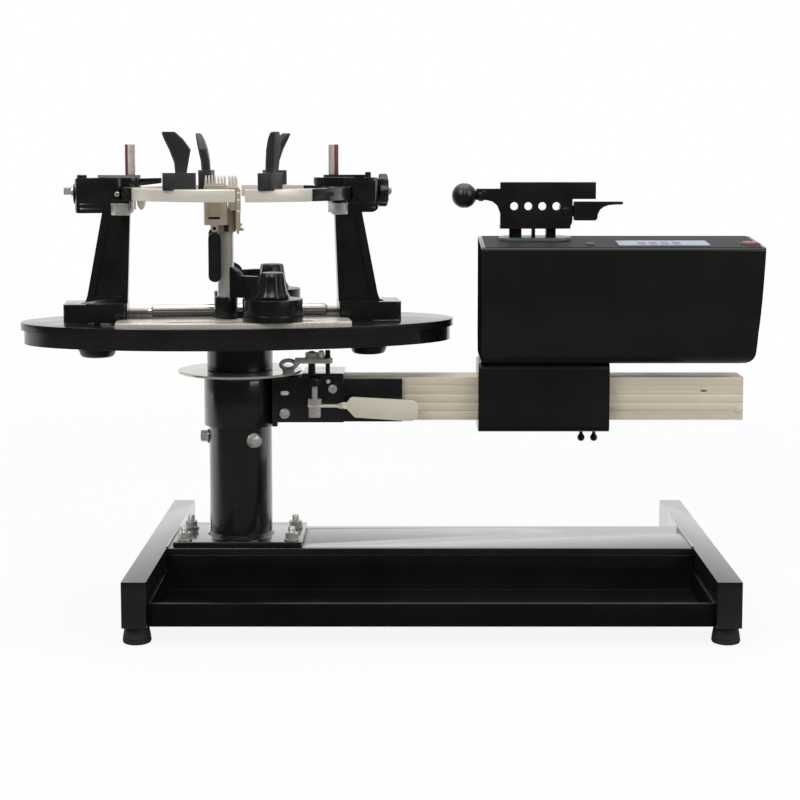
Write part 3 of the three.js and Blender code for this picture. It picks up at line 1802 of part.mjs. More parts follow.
function makeKeypad() {
  const panel = upFrom(
    roundedOutline(
      keypadStart,
      keypadStart + keypadLength,
      keypadFromFront,
      keypadFromFront + keypadWidth,
      keypadThickness,
    ),
    seatGap,
    seatGap + keypadThickness,
  );
  const pitch = keypadLength / keyCount;
  const keys = Array.from({ length: keyCount }, (_, i) => {
    const x = keypadStart + pitch * (i + 1 / 2);
    const y = keypadFromFront + keypadWidth * keyRowShare;
    return block(
      x - keySize / 2,
      x + keySize / 2,
      y - keySize / 2,
      y + keySize / 2,
      keypadThickness,
      seatGap + keypadThickness + keyHeight,
    );
  });
  return piece("keypad", panelPlastic, onTop(panel), keys.map(onTop));
}

function makeStopButton() {
  const button = drum(stopButtonRadius, -stopButtonHeight + stopButtonTravel + seatGap, stopButtonHeight / 2);
  return piece("stop_button", redPlastic, onTop(button.translate(stopButtonX, stopButtonFromFront, 0)));
}

function makeSwitch() {
  const rocker = block(
    switchX - switchLength / 2,
    switchX + switchLength / 2,
    switchFromFront - switchWidth / 2,
    switchFromFront + switchWidth / 2,
    -switchSink,
    switchRise,
  );
  return piece("power_switch", darkPlastic, onTop(rocker));
}

// Tension unit: the gripper that pulls the string
function makeGripperBody() {
  const half = gripperPlateThickness / 2;
  const midX = gripperPlateStart + gripperPlateLength / 2;
  const shape = new THREE.Shape();
  const neckX = noseBallX + noseBallRadius + noseForkThickness;
  shape.moveTo(gripperPlateStart, gripperPlateBottom);
  shape.lineTo(gripperPlateEnd, gripperPlateBottom);
  shape.lineTo(gripperPlateEnd, gripperPlateTop - gripperBarHeight);
  shape.lineTo(gripperBarEnd, gripperPlateTop - gripperBarHeight);
  shape.lineTo(gripperBarEnd, gripperPlateTop);
  shape.lineTo(gripperPlateStart, gripperPlateTop);
  shape.lineTo(neckX, noseBallZ + noseNeckHeight / 2);
  shape.lineTo(neckX, noseBallZ - noseNeckHeight / 2);
  shape.quadraticCurveTo(
    gripperPlateStart - noseForkThickness,
    noseBallZ - noseNeckHeight,
    gripperPlateStart,
    gripperPlateBottom + gripperBarHeight,
  );
  const plate = alongY(shape, -half, half);
  const holes = Array.from({ length: gripperHoleCount }, (_, i) =>
    drumAlongY(gripperHoleRadius, -gripperPlateThickness, gripperPlateThickness).translate(
      gripperPlateStart + gripperHoleStart + gripperHolePitch * i,
      0,
      gripperPlateTop - gripperHoleDrop,
    ),
  );
  const axle = drumAlongX(nosePinRadius, noseBallX - seatGap, neckX + noseForkThickness).translate(0, 0, noseBallZ);
  const fork = drumAlongX(noseNeckHeight / 2, neckX - noseForkThickness + runGap, neckX + noseForkThickness).translate(
    0,
    0,
    noseBallZ,
  );
  const carriageX = midX - housingStart;
  const slide = onTop(
    upFrom(
      slotOutline(
        carriageX - gripperCarriageLength / 2,
        carriageX + gripperCarriageLength / 2,
        slotFromFront,
        gripperCarriageWidth,
      ),
      runGap,
      runGap + gripperCarriageThickness,
    ),
  );
  const tongueWidth = slotWidth / 2 - runGap;
  const tongue = onTop(
    block(
      carriageX - gripperTongueLength / 2,
      carriageX + gripperTongueLength / 2,
      slotFromFront - tongueWidth,
      slotFromFront + tongueWidth,
      -slotDepth / 2,
      2 * runGap,
    ),
  );
  const legPitch = (gripperPlateLength - gripperLegLength) / gripperLegCount;
  const legTopZ = gripperPlateBottom + seatGap;
  const legBottomZ =
    housingBottom +
    housingFrontHeight +
    slotFromFront * Math.tan(housingSlope) +
    runGap +
    gripperCarriageThickness / 2;
  const legs = Array.from({ length: gripperLegCount }, (_, i) => {
    const x = gripperPlateStart + gripperLegLength + legPitch * i;
    return block(
      x,
      x + gripperLegLength,
      housingFrontY + slotFromFront - gripperLegWidth / 2,
      housingFrontY + slotFromFront + gripperLegWidth / 2,
      legBottomZ,
      legTopZ,
    );
  });
  const shelf = block(
    gripperPlateStart,
    gripperPlateEnd,
    -half,
    housingFrontY + slotFromFront + gripperLegWidth / 2,
    gripperPlateBottom,
    gripperPlateBottom + gripperCarriageThickness,
  );
  const pinBore = drumAlongY(gripperPinRadius + runGap, -gripperPlateThickness, gripperPlateThickness).translate(
    gripperPlateEnd - gripperJawPinInset,
    0,
    gripperPlateTop - gripperJawPinDrop,
  );
  return piece("gripper_body", castBlack, cut(plate, holes, pinBore), axle, fork, slide, tongue, legs, shelf);
}

function makeNoseBall() {
  const ball = new THREE.SphereGeometry(noseBallRadius, mediumSides, smallSides).translate(
    noseBallX,
    0,
    noseBallZ,
  );
  const bore = drumAlongX(nosePinRadius + runGap, noseBallX - 2 * seatGap, noseBallX + 2 * noseBallRadius).translate(
    0,
    0,
    noseBallZ,
  );
  return piece("nose_ball", knobPlastic, cut(ball, bore));
}

function makeGripperJaw() {
  const start = gripperPlateEnd + gripperJawGap;
  const top = gripperPlateTop - gripperBarHeight - runGap;
  const end = start + gripperJawLength;
  const fingerEnd = end + gripperFingerLength;
  const shape = new THREE.Shape();
  shape.moveTo(start, top);
  shape.lineTo(fingerEnd, top);
  shape.lineTo(fingerEnd, top - gripperFingerHeight);
  shape.quadraticCurveTo(end, top - gripperFingerHeight, end, top - gripperJawHeight);
  shape.lineTo(start, top - gripperJawHeight);
  const half = gripperPlateThickness / 2;
  const pinX = gripperPlateEnd - gripperJawPinInset;
  const pinZ = gripperPlateTop - gripperJawPinDrop;
  const earStart = half + runGap;
  const reach = gripperPinRadius + gripperEarMargin;
  const ear = block(
    pinX - reach,
    start + gripperJawLength / 2,
    earStart,
    earStart + gripperEarThickness,
    pinZ - reach,
    pinZ + reach,
  );
  const body = alongY(shape, -gripperJawThickness / 2, earStart + gripperEarThickness);
  const pin = drumAlongY(gripperPinRadius, -half - runGap, earStart + gripperEarThickness / 2);
  const head = drumAlongY(gripperPinRadius + gripperPinHead, -half - runGap - gripperPinHead, -half - runGap);
  return piece(
    "gripper_jaw",
    castBlack,
    body,
    ear,
    [pin, head].map((part) => part.translate(pinX, 0, pinZ)),
  );
}

// The whole machine
const floorFrame = [
  makeLeg("left_leg", frameLeft),
  makeLeg("right_leg", legInnerRight),
  makeChannel(),
  makeTray(),
  ...[
    ["front_left_foot", frameLeft, footPlaces[0]],
    ["front_right_foot", legInnerRight, footPlaces[0]],
    ["rear_left_foot", frameLeft, footPlaces[1]],
    ["rear_right_foot", legInnerRight, footPlaces[1]],
  ].map(([name, x, y]) => makeFoot(name, x + legWidth / 2, y)),
];

const columnAndArm = [
  makeColumn(),
  makeArmBracket(),
  makeRail(),
  makeBearing(),
  makeBrakeCaliper(),
  group([makeBrakeLever()], { x: brakeStudX, y: brakeStudY }),
];

const turntable = group(
  [
    makeSpindle(),
    makeHub(),
    makeDisc(),
    makeTable(),
    makeTrack("front_track", -1),
    makeTrack("rear_track", 1),
    makeDriveScrew(),
    makePost("left_post", -1, postLeftX),
    makePost("right_post", 1, postRightX),
    makeLockKnob("left_lock_knob", postLeftX),
    makeLockKnob("right_lock_knob", postRightX),
    makeYoke("left_yoke", -1, postLeftX),
    makeYoke("right_yoke", 1, postRightX),
    makePeg("left_peg", -1, postLeftX),
    makePeg("right_peg", 1, postRightX),
    makePegScrew("left_peg_screw", -1, postLeftX),
    makePegScrew("right_peg_screw", 1, postRightX),
    makeClaw("front_left_claw", clawNearLeftX, -1, clawNearLeftTurn),
    makeClaw("front_right_claw", clawNearRightX, -1, clawNearRightTurn),
    makeClaw("rear_left_claw", clawFarLeftX, 1, clawFarLeftTurn),
    makeClaw("rear_right_claw", clawFarRightX, 1, clawFarRightTurn),
    ...makeClamp("front", -1, clampFrontX),
    ...makeClamp("rear", 1, clampRearX),
  ],
  { turn: tableTurnRadians },
);

const tensionUnit = [
  makeCarriage(),
  ...lockScrewPlaces().map((x, i) => makeLockScrew(`rail_lock_screw_${i + 1}`, x)),
  makeHousing(),
  makeInlet(),
  makeKeypad(),
  makeStopButton(),
  makeSwitch(),
  makeGripperBody(),
  makeNoseBall(),
  makeGripperJaw(),
];

const machine = group([...floorFrame, ...columnAndArm, turntable, ...tensionUnit], { x: -machineCentreX });
export default machine;
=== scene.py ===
"""Looks of a table-top racket stringing machine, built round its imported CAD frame.

Sizes are in millimetres and in the part's own terms: x is measured from the column's axis, and the
parts that turn with the table are drawn square to it and turned with it afterwards.
"""

import json
import logging
import math
from dataclasses import dataclass
from enum import Enum
from functools import cache
from typing import Sequence

import bpy
from mathutils import Matrix, Vector


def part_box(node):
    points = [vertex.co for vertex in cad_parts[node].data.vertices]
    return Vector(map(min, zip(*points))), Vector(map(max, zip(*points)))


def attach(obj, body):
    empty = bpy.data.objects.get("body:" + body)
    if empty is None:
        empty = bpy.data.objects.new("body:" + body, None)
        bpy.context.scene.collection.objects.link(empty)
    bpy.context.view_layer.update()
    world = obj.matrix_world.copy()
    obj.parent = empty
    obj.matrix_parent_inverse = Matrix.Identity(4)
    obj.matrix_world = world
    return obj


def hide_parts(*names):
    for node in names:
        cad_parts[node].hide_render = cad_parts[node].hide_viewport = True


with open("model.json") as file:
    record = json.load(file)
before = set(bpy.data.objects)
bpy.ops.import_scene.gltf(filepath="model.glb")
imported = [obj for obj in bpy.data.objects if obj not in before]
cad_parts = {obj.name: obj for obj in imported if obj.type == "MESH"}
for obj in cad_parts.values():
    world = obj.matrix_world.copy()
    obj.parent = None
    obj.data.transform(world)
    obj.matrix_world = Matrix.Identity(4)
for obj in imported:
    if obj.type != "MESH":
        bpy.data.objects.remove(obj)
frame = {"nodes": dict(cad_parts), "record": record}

LOG = logging.getLogger("stringing_machine")
MM = 0.001
COLUMN_X = -166.33945
TABLE_TURN = math.radians(6.4)
LEVER_STUD = (84, -37.5)
FIXED_BODIES = ("base", "brake", "tension", "rail", "gripper", "nose", "stop", "power")

Point = tuple[float, float]
Triple = tuple[float, float, float]
Box = tuple[float, float, float, float, float, float]


class Axis(Enum):
    """The line along which a form is drawn out."""

    X = "x"
    Y = "y"
    Z = "z"


class Part(Enum):
    """The frame a form is drawn in: fixed to the column, or turned with the table."""

    FIXED = "fixed"
    TABLE = "table"

    @classmethod
    def of(cls, body: str) -> "Part":
        """Returns the frame in which a body's pieces are drawn."""
        return cls.FIXED if body.startswith(FIXED_BODIES) else cls.TABLE


# ---------------------------------------------------------------- finishes


class Nodes:
    """A node tree that is wired up by the names of its inputs."""

    def __init__(self, owner: bpy.types.Material | bpy.types.World) -> None:
        """Takes over the tree of a material or a world."""
        owner.use_nodes = True
        self.tree = owner.node_tree

    def feed(self, node: bpy.types.Node, inputs: dict[str | int, object]) -> None:
        """Sets a node's inputs to values, and links those that are given a socket."""
        for key, value in inputs.items():
            if isinstance(value, bpy.types.NodeSocket):
                self.tree.links.new(value, node.inputs[key])
            else:
                node.inputs[key].default_value = value

    def add(self, kind: str, inputs: dict[str | int, object], output: str | int,
            **settings: str) -> bpy.types.NodeSocket:
        """Adds a node.

        Args:
            kind: its type, without the words that all types share.
            inputs: what its inputs are set or linked to.
            output: the output that is used.
            settings: its own options.

        Returns:
            The output's socket.
        """
        node = self.tree.nodes.new(f"ShaderNode{kind}")
        for key, value in settings.items():
            setattr(node, key, value)
        self.feed(node, inputs)
        return node.outputs[output]

    def noise(self, place: bpy.types.NodeSocket, size: float, detail: float) -> bpy.types.NodeSocket:
        """Returns a noise with features of a size in millimetres, and some finer layers."""
        return self.add("TexNoise", {"Vector": place, "Scale": 1 / (size * MM), "Detail": detail}, "Fac")

    def ramp(self, value: bpy.types.NodeSocket, source: Point, target: Point,
            kind: str = "SMOOTHSTEP") -> bpy.types.NodeSocket:
        """Maps a value from one range to another.

        Args:
            value: what is mapped.
            source: its range.
            target: the range it is mapped to.
            kind: how it runs between the ends.

        Returns:
            The mapped value.
        """
        return self.add("MapRange", {"Value": value, "From Min": source[0], "From Max": source[1],
            "To Min": target[0], "To Max": target[1]}, "Result", interpolation_type=kind)

    def math(self, operation: str, *values: bpy.types.NodeSocket | float) -> bpy.types.NodeSocket:
        """Joins values by a sum, a product or another operation."""
        return self.add("Math", dict(enumerate(values)), "Value", operation=operation)

    def ray(self, kind: str) -> bpy.types.NodeSocket:
        """Returns 1 for one kind of ray and 0 for the others."""
        return self.add("LightPath", {}, f"Is {kind} Ray")

    def seen(self) -> bpy.types.NodeSocket:
        """Returns 1 for rays from the camera, from gloss and through glass."""
        return self.math("MAXIMUM", self.math("MAXIMUM", self.ray("Camera"), self.ray("Glossy")),
            self.ray("Transmission"))

    def unless_seen(self, value: bpy.types.NodeSocket) -> bpy.types.NodeSocket:
        """Returns the value, or 1 where the camera itself looks."""
        return self.add("Mix", {"A": value, "B": 1.0, "Factor": self.ray("Camera")}, "Result")


@dataclass(frozen=True)
class Finish:
    """A surface: its two colours, its gloss and the grain that shows on it.

    Sizes of grain and patches are in millimetres. The slot is the record's material slot that pieces
    with this finish mostly belong to.
    """

    name: str
    slot: str
    colour: Triple
    patch_colour: Triple
    roughness: Point
    metallic: float = 0.0
    coat: float = 0.0
    patch_size: float = 40.0
    grain_size: float = 0.6
    grain_depth: float = 0.004
    stretch: Triple = (1.0, 1.0, 1.0)
    specular: float = 0.5
    transmission: float = 0.0

    @cache
    def material(self) -> bpy.types.Material:
        """Builds the material once, with patches in its colour and gloss and a grain that stands up."""
        material = bpy.data.materials.new(self.name)
        nodes = Nodes(material)
        place = nodes.add("TexCoord", {}, "Object")
        stretched = nodes.add("Mapping", {"Vector": place, "Scale": self.stretch}, "Vector")
        patches = nodes.noise(place, self.patch_size, 4)
        grain = nodes.noise(stretched, self.grain_size, 3)
        share = nodes.ramp(patches, (0.35, 0.65), (0.0, 1.0), "LINEAR")
        colours = {"A": (*self.colour, 1), "B": (*self.patch_colour, 1), "Factor": share}
        both = nodes.math("MULTIPLY_ADD", grain, 0.5, patches)
        bump = {"Strength": 1.0, "Distance": self.grain_depth * MM, "Height": grain}
        nodes.feed(nodes.tree.nodes["Principled BSDF"], {"Base Color": nodes.add("Mix", colours, "Result",
            data_type="RGBA"), "Roughness": nodes.ramp(both, (0.5, 1.0), self.roughness, "LINEAR"),
            "Normal": nodes.add("Bump", bump, "Normal"), "Metallic": self.metallic, "Coat Weight": self.coat,
            "Coat Roughness": 0.08, "Specular IOR Level": self.specular,
            "Transmission Weight": self.transmission})
        return material


BLACK, SOFT_BLACK = (0.006, 0.006, 0.0065), (0.009, 0.009, 0.0095)
SATIN_PAINT = Finish("satin_black_paint", "painted_steel", BLACK, SOFT_BLACK, (0.2, 0.32), coat=1.0,
    patch_size=60, grain_size=0.9, grain_depth=0.008, specular=0.4)
CAST_PAINT = Finish("powder_coated_casting", "cast_black", BLACK, SOFT_BLACK, (0.24, 0.36), coat=0.7,
    patch_size=35, grain_size=0.7, grain_depth=0.02, specular=0.3)
TRAY_PAINT = Finish("tray_black_paint", "painted_steel", (0.002, 0.002, 0.0022), (0.003, 0.003, 0.0032),
    (0.34, 0.46), patch_size=70, grain_size=0.9, grain_depth=0.008, specular=0.2)
CLAMP_PAINT = Finish("clamp_enamel", "cast_black", (0.005, 0.005, 0.0055), (0.008, 0.0078, 0.0078),
    (0.22, 0.34), coat=0.15, patch_size=25, grain_size=1.4, grain_depth=0.008, specular=0.35)
GLOSS_SHELL = Finish("glossy_black_shell", "gloss_housing", (0.008, 0.008, 0.0075), (0.011, 0.011, 0.01),
    (0.12, 0.2), patch_size=120, grain_size=6, specular=0.3)
POLISHED_STEEL = Finish("polished_steel", "polished_steel", (0.80, 0.765, 0.70), (0.76, 0.72, 0.66),
    (0.1, 0.18), 0.62, patch_size=30, grain_size=0.8, grain_depth=0.003)
CHROME_TUBE = Finish("chromed_tube", "polished_steel", (0.80, 0.78, 0.71), (0.70, 0.68, 0.61), (0.12, 0.2),
    0.92, patch_size=30, grain_size=0.8, grain_depth=0.003)
ZINC_PLATE = Finish("zinc_plate", "zinc_steel", (0.66, 0.645, 0.61), (0.50, 0.485, 0.45), (0.22, 0.36), 0.55,
    patch_size=9, grain_size=0.5, grain_depth=0.006)
LEVER_PLATE = Finish("lever_sheet", "zinc_steel", (0.72, 0.68, 0.56), (0.65, 0.61, 0.50), (0.36, 0.48), 0.15,
    patch_size=60, grain_size=0.5, stretch=(0.08, 1, 1))
RAIL_ALUMINIUM = Finish("drawn_aluminium", "pale_aluminium", (0.80, 0.71, 0.575), (0.73, 0.645, 0.515),
    (0.36, 0.5), 0.25, patch_size=80, grain_depth=0.003, stretch=(0.02, 1, 1))
YOKE_ALUMINIUM = Finish("satin_aluminium", "pale_aluminium", (0.82, 0.77, 0.69), (0.70, 0.65, 0.57),
    (0.32, 0.45), 0.35, patch_size=50, grain_size=0.45, grain_depth=0.005)
CLAMP_ALLOY = Finish("clamp_alloy", "zinc_steel", (0.60, 0.52, 0.41), (0.51, 0.44, 0.34), (0.28, 0.42), 0.35,
    patch_size=25, grain_size=0.5, grain_depth=0.006)
# A darker copy of the clamp alloy: painted shade, for the darker zone on the clamp's face and the jaw's
# recess.
CLAMP_PAINTED_SHADE = Finish("clamp_face_panel", "zinc_steel", (0.48, 0.40, 0.275), (0.41, 0.34, 0.23), (0.3, 0.42),
    0.3, patch_size=14, grain_size=0.5, grain_depth=0.005)
TRACK_STEEL = Finish("track_steel", "pale_aluminium", (0.80, 0.75, 0.67), (0.68, 0.63, 0.56), (0.2, 0.32),
    0.4, patch_size=45, grain_size=0.5, grain_depth=0.005, stretch=(0.05, 1, 1))
DARK_PLASTIC = Finish("dark_grey_plastic", "dark_plastic", (0.020, 0.020, 0.021), (0.026, 0.026, 0.027),
    (0.42, 0.55), patch_size=30, grain_size=0.5, grain_depth=0.02)
KNOB_PLASTIC = Finish("satin_black_plastic", "knob_plastic", BLACK, SOFT_BLACK, (0.26, 0.4), patch_size=20,
    grain_depth=0.012)
RUBBER = Finish("black_rubber", "rubber", (0.013, 0.013, 0.013), (0.02, 0.02, 0.02), (0.7, 0.85),
    patch_size=14, grain_depth=0.03)
PEG_PLASTIC = Finish("pale_clear_plastic", "peg_plastic", (0.60, 0.53, 0.50), (0.48, 0.40, 0.36), (0.2, 0.32),
    coat=0.3, patch_size=10, grain_size=1, grain_depth=0.01, transmission=0.2)
PAD_RED = Finish("red_pad", "peg_plastic", (0.19, 0.04, 0.04), (0.13, 0.03, 0.03), (0.3, 0.45), patch_size=10,
    grain_depth=0.01)
KEYPAD_FILM = Finish("keypad_film", "keypad_panel", (0.40, 0.44, 0.50), (0.35, 0.39, 0.45), (0.3, 0.4),
    patch_size=30, grain_size=0.5, grain_depth=0.005, specular=0.1)
KEY_VIOLET = Finish("key_violet", "keypad_panel", (0.23, 0.17, 0.40), (0.18, 0.13, 0.33), (0.25, 0.36),
    patch_size=8, grain_size=0.5, grain_depth=0.005)
BUTTON_RED = Finish("button_red", "stop_red", (0.24, 0.05, 0.045), (0.18, 0.035, 0.035), (0.22, 0.34),
    patch_size=8, grain_size=0.8, grain_depth=0.006)
TOP_FILM = Finish("dark_top_film", "gloss_housing", (0.03, 0.032, 0.033), (0.05, 0.052, 0.054), (0.4, 0.5),
    patch_size=60, specular=0.02)
END_FILM = Finish("matt_end_sheet", "gloss_housing", BLACK, SOFT_BLACK, (0.6, 0.8), patch_size=60,
    specular=0.0)
SLOT_TEAL = Finish("slide_plate_teal", "cast_black", (0.20, 0.26, 0.25), (0.15, 0.20, 0.195), (0.25, 0.36),
    0.3, patch_size=20, grain_size=0.5, grain_depth=0.006)

CARRIED_OVER = {finish.slot: finish for finish in (SATIN_PAINT, RUBBER, CAST_PAINT, POLISHED_STEEL,
    ZINC_PLATE, YOKE_ALUMINIUM, GLOSS_SHELL, DARK_PLASTIC, KNOB_PLASTIC, PEG_PLASTIC, KEYPAD_FILM,
    BUTTON_RED)}


def dress_carried_over() -> None:
    """Gives every CAD node the finish of its material slot, for where it is shown as it is."""
    slots = {entry["node"]: entry["material_slot"] for entry in frame["record"]["subparts"]}
    for name, node in frame["nodes"].items():
        node.data.materials.clear()
        node.data.materials.append(CARRIED_OVER[slots[name]].material())


# ---------------------------------------------------------------- stage


@dataclass(frozen=True)
class Studio:
    """The camera, the pale floor and the soft lights."""

    eye: Triple = (184.82, -1879.18, 500.28)
    tilt: float = 84.5
    lens: float = 77.4
    shift: Point = (-0.01, -0.1117)
    floor_size: float = 12.0
    floor_glow: float = 0.9
    room_light: float = 0.32
    dark_side: float = 0.04
    lamps: tuple[tuple[str, Triple, Triple, float, float], ...] = (("key", (-1.6, -2.2, 2.4), (0, 0, 0.2),
        1.6, 42.0), ("fill", (2.2, -1.8, 1.6), (0, 0, 0.25), 1.8, 26.0), ("overhead", (0, 0.3, 2.6),
        (0, 0, 0.2), 2.4, 38.0))

    def build(self) -> None:
        """Sets the camera, floor, lights and world."""
        self._camera()
        self._floor()
        self._world()
        for lamp in self.lamps:
            self._lamp(*lamp)
        bpy.context.scene.view_settings.view_transform = "Standard"

    def _camera(self) -> None:
        """Places the camera as the photograph was taken."""
        data = bpy.data.cameras.new("photo_camera")
        data.sensor_width = 36
        data.lens = self.lens
        data.shift_x, data.shift_y = self.shift
        data.clip_end = 50
        camera = bpy.data.objects.new("photo_camera", data)
        camera.location = vector(self.eye[0] + COLUMN_X, *self.eye[1:])
        camera.rotation_euler = (math.radians(self.tilt), 0, 0)
        bpy.context.scene.collection.objects.link(camera)
        bpy.context.scene.camera = camera

    def _lamp(self, name: str, place: Triple, target: Triple, size: float, power: float) -> None:
        """Adds a soft square lamp.

        Args:
            name: the lamp's name.
            place: where it hangs, in metres.
            target: what it points at.
            size: length of its side.
            power: watts.
        """
        data = bpy.data.lights.new(name, "AREA")
        data.shape, data.size, data.energy = "SQUARE", size, power
        lamp = bpy.data.objects.new(name, data)
        lamp.location = place
        lamp.rotation_euler = (Vector(target) - Vector(place)).to_track_quat("-Z", "Y").to_euler()
        bpy.context.scene.collection.objects.link(lamp)

    def _floor(self) -> None:
        """Lays the pale floor: white to the eye, and darker in the gloss of what faces the camera."""
        bpy.ops.object.select_all(action="DESELECT")
        bpy.ops.mesh.primitive_plane_add(size=self.floor_size, location=(0, 0, 0))
        floor = bpy.context.object
        floor.name = "studio_floor"
        material = bpy.data.materials.new("pale_floor")
        nodes = Nodes(material)
        shader = nodes.tree.nodes["Principled BSDF"]
        nodes.feed(shader, {"Base Color": (0.86, 0.86, 0.86, 1), "Roughness": 0.7, "Specular IOR Level": 0.2})
        place = nodes.add("TexCoord", {}, "Object")
        distance = nodes.add("VectorMath", {0: place}, "Value", operation="LENGTH")
        share = nodes.math("MULTIPLY", nodes.seen(), nodes.ramp(distance, (0.7, 2.4), (self.floor_glow, 1.0)))
        near = nodes.ramp(nodes.add("SeparateXYZ", {0: place}, "Y"), (-0.3, 0.2), (self.dark_side, 1.0))
        glow = nodes.add("Emission", {"Strength": nodes.unless_seen(near)}, "Emission")
        mixed = nodes.add("MixShader", {"Fac": share, 1: shader.outputs["BSDF"], 2: glow}, "Shader")
        nodes.feed(nodes.tree.nodes["Material Output"], {"Surface": mixed})
        floor.data.materials.append(material)

    def _world(self) -> None:
        """Makes a white room that is dimmer behind the camera, and soft grey as light."""
        world = bpy.data.worlds.new("studio_world")
        bpy.context.scene.world = world
        nodes = Nodes(world)
        place = nodes.add("TexCoord", {}, "Generated")
        behind = nodes.ramp(nodes.add("SeparateXYZ", {0: place}, "Y"), (-0.2, 0.8), (self.dark_side, 1.0))
        above = nodes.ramp(nodes.add("SeparateXYZ", {0: place}, "Z"), (0.35, 0.8), (0.0, 1.0))
        shown = nodes.unless_seen(nodes.math("MAXIMUM", behind, above))
        strength = nodes.add("MapRange", {"Value": nodes.seen(), "To Min": self.room_light, "To Max": shown},
            "Result")
        nodes.feed(nodes.tree.nodes["Background"], {"Color": (1, 1, 1, 1), "Strength": strength})


# ---------------------------------------------------------------- modelling


def vector(*numbers: float) -> Vector:
    """Returns a point given in millimetres as Blender's metres."""
    return Vector(numbers) * MM


def to_space(point: Point, along: float, axis: Axis) -> Vector:
    """Sets a drawn point into space.

    Args:
        point: its two coordinates, in the order x, y, z without the axis.
        along: its place along the axis.
        axis: the line the drawing is looked at along.

    Returns:
        The point, in metres.
    """
    if axis is Axis.X:
        return vector(along, point[0], point[1])
    if axis is Axis.Y:
        return vector(point[0], along, point[1])
    return vector(point[0], point[1], along)


def ring_points(radius: float, count: int, centre: Point = (0, 0), start: float = 0,
        sweep: float = 360) -> list[Point]:
    """Returns points on an arc.

    Args:
        radius: of the arc.
        count: number of points.
        centre: its middle.
        start: angle of the first point, in degrees.
        sweep: angle run through; a full turn leaves out the point that would come twice.

    Returns:
        The points, counter-clockwise.
    """
    steps = count if abs(sweep) >= 360 else count - 1
    turns = [math.radians(start + sweep * i / steps) for i in range(count)]
    return [(centre[0] + radius * math.cos(t), centre[1] + radius * math.sin(t)) for t in turns]


def round_box(low: Point, high: Point, radius: float, count: int = 5) -> list[Point]:
    """Returns a rectangle with rounded corners.

    Args:
        low: its lowest corner.
        high: its highest corner.
        radius: of the corners.
        count: points in each corner.

    Returns:
        The points, counter-clockwise.
    """
    inner_low, inner_high = (low[0] + radius, low[1] + radius), (high[0] - radius, high[1] - radius)
    corners = ((inner_high[0], inner_high[1], 0), (inner_low[0], inner_high[1], 90),
        (inner_low[0], inner_low[1], 180), (inner_high[0], inner_low[1], 270))
    return [p for x, y, turn in corners for p in ring_points(radius, count, (x, y), turn, 90)]


def hexagon(across: float, centre: Point = (0, 0), turn: float = 0) -> list[Point]:
    """Returns a hexagon, measured across its flats."""
    return ring_points(across / math.sqrt(3), 6, centre, turn)


def fluted(radius: float, flutes: int, depth: float, steps: int = 8) -> list[Point]:
    """Returns a round outline with hollows round it.

    Args:
        radius: at the ridges.
        flutes: number of hollows.
        depth: of each hollow.
        steps: points to a hollow.

    Returns:
        The points, counter-clockwise.
    """
    points = []
    for i in range(flutes * steps):
        share = (i % steps) / steps
        reach = radius - depth * math.sin(math.pi * share) ** 1.5
        turn = 2 * math.pi * i / (flutes * steps)
        points.append((reach * math.cos(turn), reach * math.sin(turn)))
    return points


